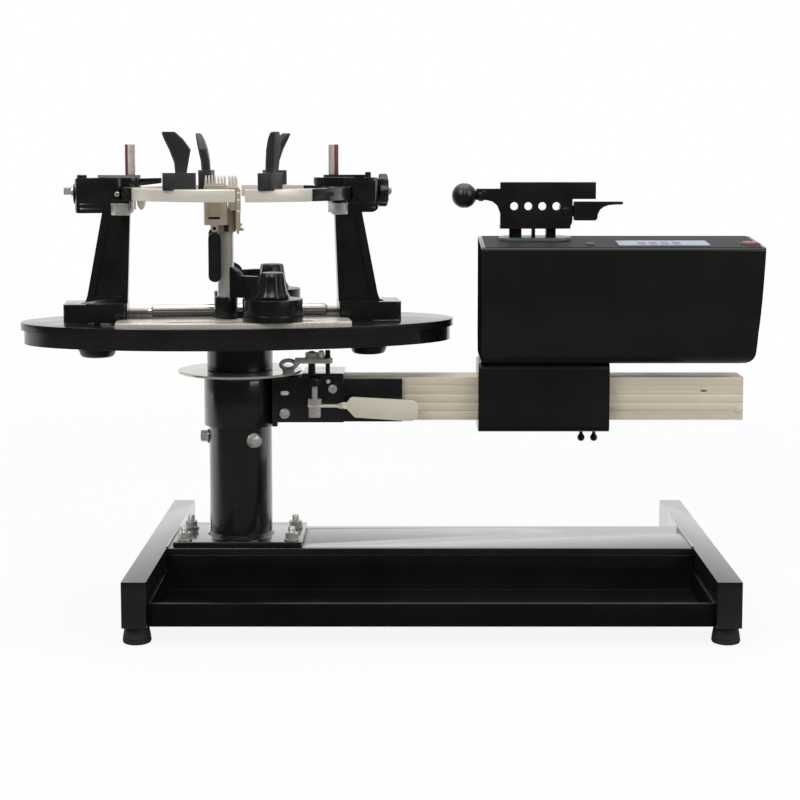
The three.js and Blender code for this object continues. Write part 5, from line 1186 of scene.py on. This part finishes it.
@dataclass
class RacketPosts:
    """The two posts with their heads, yokes, pegs and screws."""

    left: PostSide = PostSide("left", -1, -175, -125.5, 18, -129.9, -113, (-121.6, -118.6),
        (-168, 5.3, 468.3), -154.5)
    right: PostSide = PostSide("right", 1, 152.8, 108.4, 15.6, 102.6, 75, (104.6, 109.1), (143, 3.3, 470.8),
        142, 13.5)
    head_half: float = 17
    head_top: float = 465.1
    yoke_bottom: float = 441.9
    plate_top: float = 468
    screw_z: float = 451
    nut_y: float = 27.5
    grooves: Point = (433.6, 438.2)

    def build(self) -> None:
        """Makes both sides, and what only one of them has."""
        for item in (self.left, self.right):
            self._post(item)
            self._yoke(item)
            self._peg(item)
            dressed(f"{item.name}_lock_knob", KNOB_PLASTIC, f"{item.name}_lock_knob", 0.7, 3)
            self._lock_cup(item)
        self._left_tab_and_arm()
        self._square_end()
        self._star_knob()

    def _left_tab_and_arm(self) -> None:
        """Makes the tab under the left yoke, and the arm that runs on from the left head."""
        low = self.yoke_bottom + 0.1
        tab = Form.prism([(-108.6, low), (-108, 436), (-105.6, 431.6), (-103.2, 431), (-101, 433.4),
            (-99.8, 437.5), (-99.4, low)], -26, -16, Axis.Y).bevel(0.8)
        tab.done("left_yoke_tab", YOKE_ALUMINIUM, "left_post")
        arm = Form.prism([(-107, 456.6), (-104, 456.6), (-83.6, 459), (-83, 459.6), (-83, 464.8),
            (-107, 464.2)], 0, 13, Axis.Y).bevel(0.8)
        arm.done("left_head_arm", CAST_PAINT, "left_post")

    def _lock_cup(self, item: PostSide) -> None:
        """Gives the lock knob under the table its cup-shaped lower end."""
        cup = Form.lathe([(0, 270.6), (14.4, 270.6), (16.6, 271.2), (18.4, 273), (19.8, 277.4), (0, 277.4)],
            (item.lock_x, 0, 0), steps=56)
        cup.done(f"{item.name}_lock_cup", KNOB_PLASTIC, f"{item.name}_lock_knob")

    def _post(self, item: PostSide) -> None:
        """Rounds the post's edges and sets its cap and its front screw."""
        body = f"{item.name}_post"
        post = Form.of_node(body).from_row(Part.TABLE)
        keep = self.head_half - 0.5
        low, high = sorted((item.outer - item.side * 0.5, item.outer - item.side * 60))
        for z in self.grooves:
            band = Form.block((-200, -30, z - 0.45, 200, 30, z + 0.45))
            post.cut(band.cut(Form.block((low, -keep, z - 1, high, keep, z + 1))))
        if item.side > 0:
            self._round(post, item.outer, 427.5, 9, (1, -1))
            self._round(post, item.outer, self.head_top, 4, (1, 1))
            self._round(post, 82, 455.1, 5, (-1, -1))
        post.bevel(1.0, 3).done(f"{item.name}_post_casting", CAST_PAINT, body, body)
        x, radius, top = item.cap
        cap = Form.lathe([(0, self.head_top - 0.4), (radius, self.head_top - 0.4), (radius, top - 0.8),
            (radius - 0.8, top), (0, top)], (x, item.cap_y, 0), steps=36)
        cap.done(f"{item.name}_head_cap", KNOB_PLASTIC, body)
        screw = Form.lathe([(0, 1), (3, 1), (3, -1.2), (2.3, -2.1), (1.5, -2.2), (1.3, -1.4), (0, -1.4)],
            (item.screw_x, -self.head_half, 447.4), Axis.Y, 28)
        screw.done(f"{item.name}_head_screw", ZINC_PLATE, body)

    def _round(self, form: Form, x: float, z: float, radius: float, corner: tuple[int, int]) -> None:
        """Rounds one corner of a form, as seen from the front.

        Args:
            form: what is rounded.
            x: place of the corner along the table.
            z: its height.
            radius: of the rounding.
            corner: which corner it is: the signs of its outward x and z.
        """
        centre = (x - corner[0] * radius, z - corner[1] * radius)
        xs, zs = sorted((centre[0], x + corner[0])), sorted((centre[1], z + corner[1]))
        waste = Form.block((xs[0], -40, zs[0], xs[1], 40, zs[1]))
        waste.cut(Form.rod(radius, -45, 45, (centre[0], 0, centre[1]), Axis.Y, 96))
        form.cut(waste)

    def _yoke(self, item: PostSide) -> None:
        """Makes the pale half ring, its root painted black with bosses, and the nuts under them; the black
        root is partly a real black block and partly painted shade where the ring darkens towards it.
        """
        body, node, far = f"{item.name}_post", f"{item.name}_yoke", 400 * item.side
        beyond, within = sorted((item.root_from, far)), sorted((item.root_from, -far))
        ring = Form.of_node(node).from_row(Part.TABLE)
        root = ring.copy()
        ring.cut(Form.block((beyond[0], -200, 400, beyond[1], 200, 500)))
        ring.bevel(0.9, 3).done(f"{item.name}_yoke_ring", YOKE_ALUMINIUM, body, node)
        # The root's black is partly the black block round the ring's root and partly painted shade on the
        # ring's darkening end.
        root.cut(Form.block((within[0], -200, 400, within[1], 200, 500)))
        root.cut(Form.block((-200, -200, 400, 200, 200, self.yoke_bottom + 0.01))).bevel(0.9, 3)
        nut = Bolt(across=item.nut_across, height=11.2, washer_radius=item.nut_across * 0.61,
            washer_thickness=1.4).build()
        nut.turn(180, Axis.X).move(item.nut_x, 0, 438.2)
        boss = Form.lathe([(0, 438), (8.6, 438), (9.4, 438.6), (9.4, 442.6), (0, 442.6)], (item.nut_x, 0, 0),
            steps=40)
        for y in (-self.nut_y, self.nut_y):
            root.join(boss.copy().move(0, y))
            nut.copy().move(0, y).done(f"{node}_nut_{'front' if y < 0 else 'rear'}", ZINC_PLATE, body,
                slot="pale_aluminium")
        boss.drop()
        nut.drop()
        root.done(f"{item.name}_yoke_root", CAST_PAINT, body, slot="pale_aluminium")

    def _peg(self, item: PostSide) -> None:
        """Makes the black slide plate, the pale finger and the red pad on its outer side."""
        node = f"{item.name}_peg"
        plate = Form.of_node(node).from_row(Part.TABLE)
        finger = plate.copy()
        plate.cut(Form.block((-200, -50, self.plate_top, 200, 50, 600))).bevel(0.5)
        plate.done(f"{node}_plate", CAST_PAINT, node, node, slot="peg_plastic")
        finger.cut(Form.block((-200, -50, 400, 200, 50, self.plate_top)))
        pad = finger.copy()
        low, high = sorted((item.pad[0] if item.side > 0 else item.pad[1], 300 * item.side))
        finger.cut(Form.block((low, -50, 400, high, 50, 600))).bevel(1.1, 3)
        finger.done(f"{node}_finger", PEG_PLASTIC, node)
        low, high = sorted((low if item.side > 0 else high, -300 * item.side))
        pad.cut(Form.block((low, -50, 400, high, 50, 600))).bevel(0.8, 3)
        pad.done(f"{node}_pad", PAD_RED, node)

    def _square_end(self) -> None:
        """Makes the left screw's collar and square end, and the cup it turns in."""
        dressed("left_peg_screw", ZINC_PLATE, "left_peg_screw", 0.6, 2)
        cup = Form.ring([(6.5, 0.3), (10.6, 0.3), (10.9, -0.2), (10.9, -1.5), (10.3, -2), (6.5, -2)],
            (self.left.outer, 0, self.screw_z - 3), Axis.X, 48)
        cup.done("left_screw_cup", KNOB_PLASTIC, "left_post")

    def _star_knob(self) -> None:
        """Makes the right screw's lobed knob with its hub and its threaded tip."""
        x = self.right.outer + 0.35
        knob = Form.stack(fluted(18, 8, 3.4, 10), [(x + 0.4, 0.93, 0), (x + 1.6, 1, 0), (x + 8.2, 1, 0),
            (x + 9.8, 0.93, 0), (x + 10.4, 0.8, 0)], Axis.X)
        hub = Form.rod(8.4, 0, 1.2, (x, 0, 0), Axis.X, 40)
        shaft = Form.rod(3, -33, 0.3, (x, 0, 0), Axis.X, 24)
        knob.join(hub, shaft).move(0, 0, self.screw_z)
        knob.done("right_star_knob", KNOB_PLASTIC, "right_peg_screw", "right_peg_screw")
        tip = Form.lathe([(0, 10), (6, 10), (6, 12.4), (4.4, 12.8), (4.2, 14), (3.6, 14.6), (0, 14.6)],
            (x, 0, self.screw_z), Axis.X, 32)
        tip.done("right_screw_tip", ZINC_PLATE, "right_peg_screw", slot="knob_plastic")


@dataclass
class SideClaws:
    """The four claws on the yokes."""

    nodes: tuple[str, ...] = ("front_left_claw", "front_right_claw", "rear_left_claw", "rear_right_claw")

    def build(self) -> None:
        """Makes the claws."""
        for node in self.nodes:
            dressed(node, DARK_PLASTIC, node, 1.1, 3)


@dataclass
class StringClamps:
    """The front and the rear string clamp."""

    rod_x: float = -15
    rod_y: float = 35.2
    head_top: float = 456
    base_x: tuple[float, float] = (34, 38)
    base_y: float = 69
    rivets: tuple[Point, ...] = ((-24, 448.8), (-24, 441.2), (-23.6, 429.5))
    knob_low: float = 338.7
    knob_top: float = 366.2

    def build(self) -> None:
        """Makes both clamps."""
        for end, side, base_x in (("front", -1, self.base_x[0]), ("rear", 1, self.base_x[1])):
            dressed(f"{end}_clamp_base", CLAMP_PAINT, f"{end}_clamp_base", 0.8, 3)
            dressed(f"{end}_clamp_arm", CLAMP_PAINT, f"{end}_clamp_arm", 1.0, 3)
            dressed(f"{end}_clamp_post", POLISHED_STEEL, f"{end}_clamp_post", 0.8, 3)
            dressed(f"{end}_clamp_lever", KNOB_PLASTIC, f"{end}_clamp_lever", 2.0, 4)
            self._knob(end, base_x, side * self.base_y)
            self._head(end, side)
            self._jaw(end, side)

    def _knob(self, end: str, x: float, y: float) -> None:
        """Makes the flared knob with its scalloped skirt and fluted sides."""
        low, high = self.knob_low, self.knob_top
        skirt = Form.stack(fluted(19, 8, 1.3, 8), [(low, 0.96, 0), (low + 0.9, 1, 0), (low + 3, 0.99, 0),
            (low + 6, 0.86, 0), (low + 8, 0.82, 0)])
        cone = Form.stack(fluted(16.4, 8, 1.2, 8), [(low + 5, 1.04, 0), (low + 9, 0.95, 0),
            (low + 22, 0.83, 0), (high - 1.6, 0.79, 0), (high - 0.5, 0.73, 0), (high, 0.64, 0)])
        skirt.join(cone).move(x, y).turn(11 if y < 0 else -7, Axis.Z, (x, y, 0))
        skirt.done(f"{end}_clamp_knob_body", CLAMP_PAINT, f"{end}_clamp_knob", f"{end}_clamp_knob",
            slot="knob_plastic", smooth=40)

    def _seat(self, form: Form, side: int, node: str, what: str, finish: Finish, *nodes: str) -> None:
        """Moves what is drawn for the front clamp to its rod, and finishes it.

        Args:
            form: the piece.
            side: -1 for the front clamp, 1 for the rear one, for which it is turned over.
            node: the node whose body it rides on.
            what: the last word of its name.
            finish: its surface.
            nodes: CAD nodes that it stands for.
        """
        if side > 0:
            form.mirror_y()
        form.move(self.rod_x, side * self.rod_y)
        form.done(f"{node}_{what}", finish, node, *nodes, slot="zinc_steel")

    def _unsettle(self, node: str, side: int) -> Form:
        """Takes a node's copy back to where the front clamp's pieces are drawn."""
        form = Form.of_node(node).from_row(Part.TABLE).move(-self.rod_x, -side * self.rod_y)
        return form.mirror_y() if side > 0 else form

    def _comb(self, places: Sequence[float]) -> Form:
        """Makes rows of pins that point up from the clamp's top.

        Args:
            places: where the pins stand across the string.

        Returns:
            The pins as one form.
        """
        pin = Form.lathe([(0, self.head_top - 0.6), (1.05, self.head_top - 0.6), (1.0, self.head_top + 7),
            (0.7, self.head_top + 10.2), (0, self.head_top + 10.8)], steps=10)
        pins = [pin.copy().move(x, y) for x in places for y in (-19.5, -1.5)]
        pin.drop()
        return pins[0].join(*pins[1:])

    def _head(self, end: str, side: int) -> None:
        """Makes the clamp's block with a darker panel of painted shade on its face, a black insert of painted
        shade in its string slot, and its comb.
        """
        node = f"{end}_clamp_head"
        head = self._unsettle(node, side)
        head.cut(Form.block((-40, -40, self.head_top, 40, 40, 500)))
        head.cut(Form.block((-18, -30, 422.1, -5.6, -21.5, 424.8)))
        head.bevel(0.9, 3)
        self._seat(head, side, node, "block", CLAMP_ALLOY, node)
        # The thin panel on the block's face is painted shade: a darker sheet where the face looks darker.
        panel = Form.prism(round_box((-18.6, 426), (-3.6, 453.2), 1.2), -24.5, -23.8, Axis.Y).bevel(0.25)
        self._seat(panel, side, node, "panel", CLAMP_PAINTED_SHADE)
        # The black insert in the string slot is painted shade, standing in for the slot's dark inside.
        slot = Form.block((-17.8, -23.2, 422.3, -5.8, -21.4, 424.6)).bevel(0.2, 1)
        self._seat(slot, side, node, "slot", RUBBER)
        self._seat(self._comb([-20.2 + 3.4 * i for i in range(7)]), side, node, "comb", YOKE_ALUMINIUM)
        bar = Form.block((-21.6, -20.9, self.head_top - 0.2, 1.6, -0.1, self.head_top + 1.5)).bevel(0.4)
        self._seat(bar, side, node, "comb_bar", PEG_PLASTIC)
        foot = Form.lathe([(0, 408.6), (2.7, 408.6), (3, 409.2), (3, 416.4), (0, 416.4)], (0.8, -19, 0),
            steps=28)
        self._seat(foot, side, node, "screw", SATIN_PAINT)

    def _jaw(self, end: str, side: int) -> None:
        """Makes the moving jaw with a dark insert of painted shade in its recess, the link under it, its
        rivets and its comb.
        """
        node = f"{end}_clamp_jaw"
        jaw = self._unsettle(node, side)
        jaw.cut(Form.block((-40, -40, self.head_top, 40, 40, 500)))
        jaw.cut(Form.block((4.9, -30, 431, 11.6, -21.5, 454)))
        self._seat(jaw.bevel(0.7, 3), side, node, "plate", CLAMP_ALLOY, node)
        # The insert in the recess is painted shade, standing in for the recess's dark inside.
        recess = Form.block((5.1, -22.6, 431.3, 11.4, -21.4, 453.7)).bevel(0.2, 1)
        self._seat(recess, side, node, "recess", CLAMP_PAINTED_SHADE)
        link = Form.prism([(12.4, 434), (16, 434), (16, 413.4), (19.6, 412.2), (19.6, 410), (12.4, 409.6)],
            -23.6, -17.6, Axis.Y).bevel(0.6)
        self._seat(link, side, node, "link", ZINC_PLATE)
        for i, (y, z) in enumerate(self.rivets):
            rivet = Form.lathe([(0, 0.4), (1.7, 0.4), (1.7, -0.5), (1.1, -1), (0, -1.1)], (13.8, y, z),
                Axis.Y, 20)
            self._seat(rivet, side, node, f"rivet_{i + 1}", POLISHED_STEEL)
        self._seat(self._comb([5.4, 8.8, 12.2]), side, node, "comb", YOKE_ALUMINIUM)


@dataclass
class TensionUnit:
    """The carriage on the rail with its housing, panel, buttons and gripper."""

    housing_x: float = 263.5
    housing_front: float = -50
    front_top: float = 391.1
    top_slope: float = 4.517
    film: Box = (147.5, 12, 0.35, 245.5, 48, 1.7)
    key_size: Point = (8.6, 6.2)
    key_pitch: Point = (12.4, 11)
    key_start: Point = (173.5, 20)
    slide: Point = (21, 101)
    slide_y: float = 66
    plate: tuple[float, float, float, float] = (285.2, 409.4, 364, 460.2)
    bar_end: float = 389.4
    bar_low: float = 441.7
    hole_z: float = 434
    hole_xs: tuple[float, ...] = (300.5, 315.8, 331.1, 346.4)
    ball: Triple = (246.2, 0, 445.4)
    screw_xs: Point = (376, 390)
    button: Triple = (291, 30, 0)
    pin: Triple = (356.5, 0, 428.5)

    def build(self) -> None:
        """Makes the unit."""
        dressed("rail_carriage", GLOSS_SHELL, "tension_unit", 1.2, 3, slot="painted_steel")
        dressed("tension_housing", GLOSS_SHELL, "tension_unit", 1.4, 4)
        dressed("power_inlet", DARK_PLASTIC, "tension_unit", 0.4, 2)
        dressed("power_switch", DARK_PLASTIC, "power_switch", 0.7, 3)
        film = Form.prism(round_box((4, 3), (300, 97), 2), 0.03, 0.33)
        self._on_top(film).done("housing_top_film", TOP_FILM, "tension_unit")
        end = Form.prism([(-44, 269.6), (44, 269.6), (49.4, 289), (49.4, 396.4), (-49.4, 388.7), (-52, 368),
            (-53.4, 336), (-51.8, 310), (-49.2, 289)], self.housing_x - 0.35, self.housing_x - 0.02, Axis.X)
        end.done("housing_end_sheet", END_FILM, "tension_unit")
        self._keypad()
        self._stop_button()
        self._lock_screws()
        self._gripper()
        self._nose_ball()
        self._jaw()

    def _on_top(self, form: Form) -> Form:
        """Moves what is drawn on the housing's sloping top into its place."""
        slope = Matrix.Rotation(math.radians(self.top_slope), 4, "X")
        place = Matrix.Translation(vector(self.housing_x, self.housing_front, self.front_top))
        return form.place(place @ slope)

    def _keypad(self) -> None:
        """Makes the film and the two rows of keys."""
        x0, y0, z0, x1, y1, z1 = self.film
        film = Form.prism(round_box((x0, y0), (x1, y1), 2), z0, z1).bevel(0.3)
        self._on_top(film).done("keypad_film", KEYPAD_FILM, "tension_unit", "keypad")
        half_x, half_y = self.key_size[0] / 2, self.key_size[1] / 2
        key = Form.prism(round_box((-half_x, -half_y), (half_x, half_y), 1.2), z1 - 0.3, z1 + 0.5)
        key.bevel(0.25)
        for row in range(2):
            for column in range(4):
                place = (self.key_start[0] + column * self.key_pitch[0],
                    self.key_start[1] + row * self.key_pitch[1])
                self._on_top(key.copy().move(*place)).done(f"key_{row + 1}_{column + 1}", KEY_VIOLET,
                    "tension_unit")
        key.drop()

    def _stop_button(self) -> None:
        """Turns the domed button and the ring it sits in."""
        button = Form.lathe([(0, -3.7), (8.3, -3.7), (8.5, -3.4), (8.5, 1.7), (7.8, 2.6), (6, 2.95),
            (5.2, 2.7), (0, 2.5)], self.button, steps=56)
        self._on_top(button).done("stop_button_cap", BUTTON_RED, "stop_button", "stop_button")
        ring = Form.ring([(9.2, 0.2), (11.6, 0.2), (11.4, 0.9), (10.8, 1.2), (9.2, 1.2)], self.button,
            steps=64)
        self._on_top(ring).done("stop_button_ring", DARK_PLASTIC, "tension_unit", slot="gloss_housing")

    def _lock_screws(self) -> None:
        """Makes the two ball-headed screws under the carriage."""
        low, radius = 174.6, 4.1
        ball = [(radius * math.sin(math.radians(t)), low + radius - radius * math.cos(math.radians(t)))
            for t in range(10, 150, 10)]
        for i, x in enumerate(self.screw_xs):
            screw = Form.lathe([(0, low), *ball, (2.2, low + 8.2), (1.9, low + 8.8), (1.9, 200), (0, 200)],
                (x, 0, 0), steps=32)
            screw.done(f"rail_lock_screw_{i + 1}_head", KNOB_PLASTIC, f"rail_lock_screw_{i + 1}",
                f"rail_lock_screw_{i + 1}")

    def _gripper(self) -> None:
        """Makes the drilled plate with its arm and legs, and the slide plate under it."""
        x0, z0, x1, z1 = self.plate
        curve = [(x0 - 3.2, 434.6), (x0 - 8.5, 438.9), (x0 - 15, 440.5), (259, 440.7)]
        outline = [(x0, z0), (x1 - 9, z0), *ring_points(9, 7, (x1 - 9, z0 + 9), -90, 90), (x1, self.bar_low),
            (self.bar_end, self.bar_low), (self.bar_end, z1), (x0, z1), (x0, 453.1), (259, 453.1),
            *reversed(curve), (x0, 426.4)]
        plate = Form.prism(outline, -5, 5, Axis.Y)
        for x in self.hole_xs:
            plate.cut(Form.rod(4.3, -8, 8, (x, 0, self.hole_z), Axis.Y, 32))
        plate.cut(Form.rod(3.6, -8, 8, self.pin, Axis.Y, 28))
        plate.bevel(0.7, 3)
        shelf = Form.block((x0, -4.6, z0 + 0.1, x1 - 2, 24, z0 + 3)).bevel(0.6)
        fork = Form.lathe([(0, 0), (3, 0), (3, 15), (5.6, 15.6), (6.2, 16.4), (6.2, 21), (0, 21)],
            (245.9, 0, self.ball[2]), Axis.X, 36)
        axle_head = Form.lathe([(0, -6), (3.2, -6), (3.6, -5.4), (3.6, -4.6), (0, -4.6)], (268, 0, 447),
            Axis.Y, 28)
        legs = [Form.block((x, 9, 398, x + width, 23, z0 + 1)).bevel(0.8)
            for x, width in ((296, 13.6), (320.6, 4), (336.2, 11))]
        plate.join(shelf, fork, axle_head, *legs)
        plate.done("gripper_plate", CAST_PAINT, "gripper_body", "gripper_body")
        left, right = self.slide
        half = 15
        oval = [*ring_points(half, 17, (right - half, self.slide_y), -90, 180), *ring_points(half, 17,
            (left + half, self.slide_y), 90, 180)]
        slide = Form.prism(oval, 0.35, 3.35).bevel(0.5)
        tongue = Form.block((31, self.slide_y - 5.6, -6, 91, self.slide_y + 5.6, 0.6)).bevel(0.5)
        self._on_top(slide.join(tongue)).done("gripper_slide", SLOT_TEAL, "gripper_body")

    def _nose_ball(self) -> None:
        """Turns the diabolo's ball with its waist line."""
        radius = 13.6
        points = []
        for t in range(0, 181, 6):
            turn = math.radians(t)
            reach = radius - (0.5 if t == 90 else 0)
            points.append((max(3.4, reach * math.sin(turn)), -reach * math.cos(turn)))
        points = [p for i, p in enumerate(points) if p[0] > 3.4 or i in (0, len(points) - 1)]
        points[0], points[-1] = (0, -radius), (3.4, math.sqrt(radius ** 2 - 3.4 ** 2))
        ball = Form.lathe([*points, (3.4, 0), (0, 0)], self.ball, Axis.X, 48)
        ball.done("nose_ball_body", KNOB_PLASTIC, "nose_ball", "nose_ball")

    def _jaw(self) -> None:
        """Makes the tilting jaw with its long finger, its ear and its pin."""
        start, top = 365.5, 439
        outline = [(start, 419.4), (start + 1, 418.4), (389, 418.4), (391.2, 420.4), (391.6, 425.3),
            (394.2, 430.2), (398, 433.2), (403, 435), (410, 435.7), (418.2, 435.8), (418.9, 436.4),
            (418.9, 438.4), (418.2, top), (start, top)]
        body = Form.prism(outline, -5, 9.35, Axis.Y).bevel(0.5)
        ear = Form.block((350.3, 5.4, 422.4, 377, 9.3, 434.6)).bevel(0.5)
        pin = Form.lathe([(0, -7.4), (3.5, -7), (3.9, -6.6), (3.9, -5.4), (3.2, -5.4), (3.2, 7), (0, 7)],
            self.pin, Axis.Y, 36)
        body.join(ear, pin).done("gripper_jaw_body", CAST_PAINT, "gripper_jaw", "gripper_jaw")


def main() -> None:
    """Builds the stage and dresses the machine, sub-assembly by sub-assembly."""
    logging.basicConfig(level=logging.INFO, format="%(name)s: %(message)s")
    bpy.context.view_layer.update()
    Studio().build()
    dress_carried_over()
    for assembly in (BaseFrame(), Column(), ArmBracket(), Brake(), Turntable(), RacketPosts(), SideClaws(),
            StringClamps(), TensionUnit()):
        LOG.info("building %s", type(assembly).__name__)
        assembly.build()


if __name__ == "__main__":
    main()
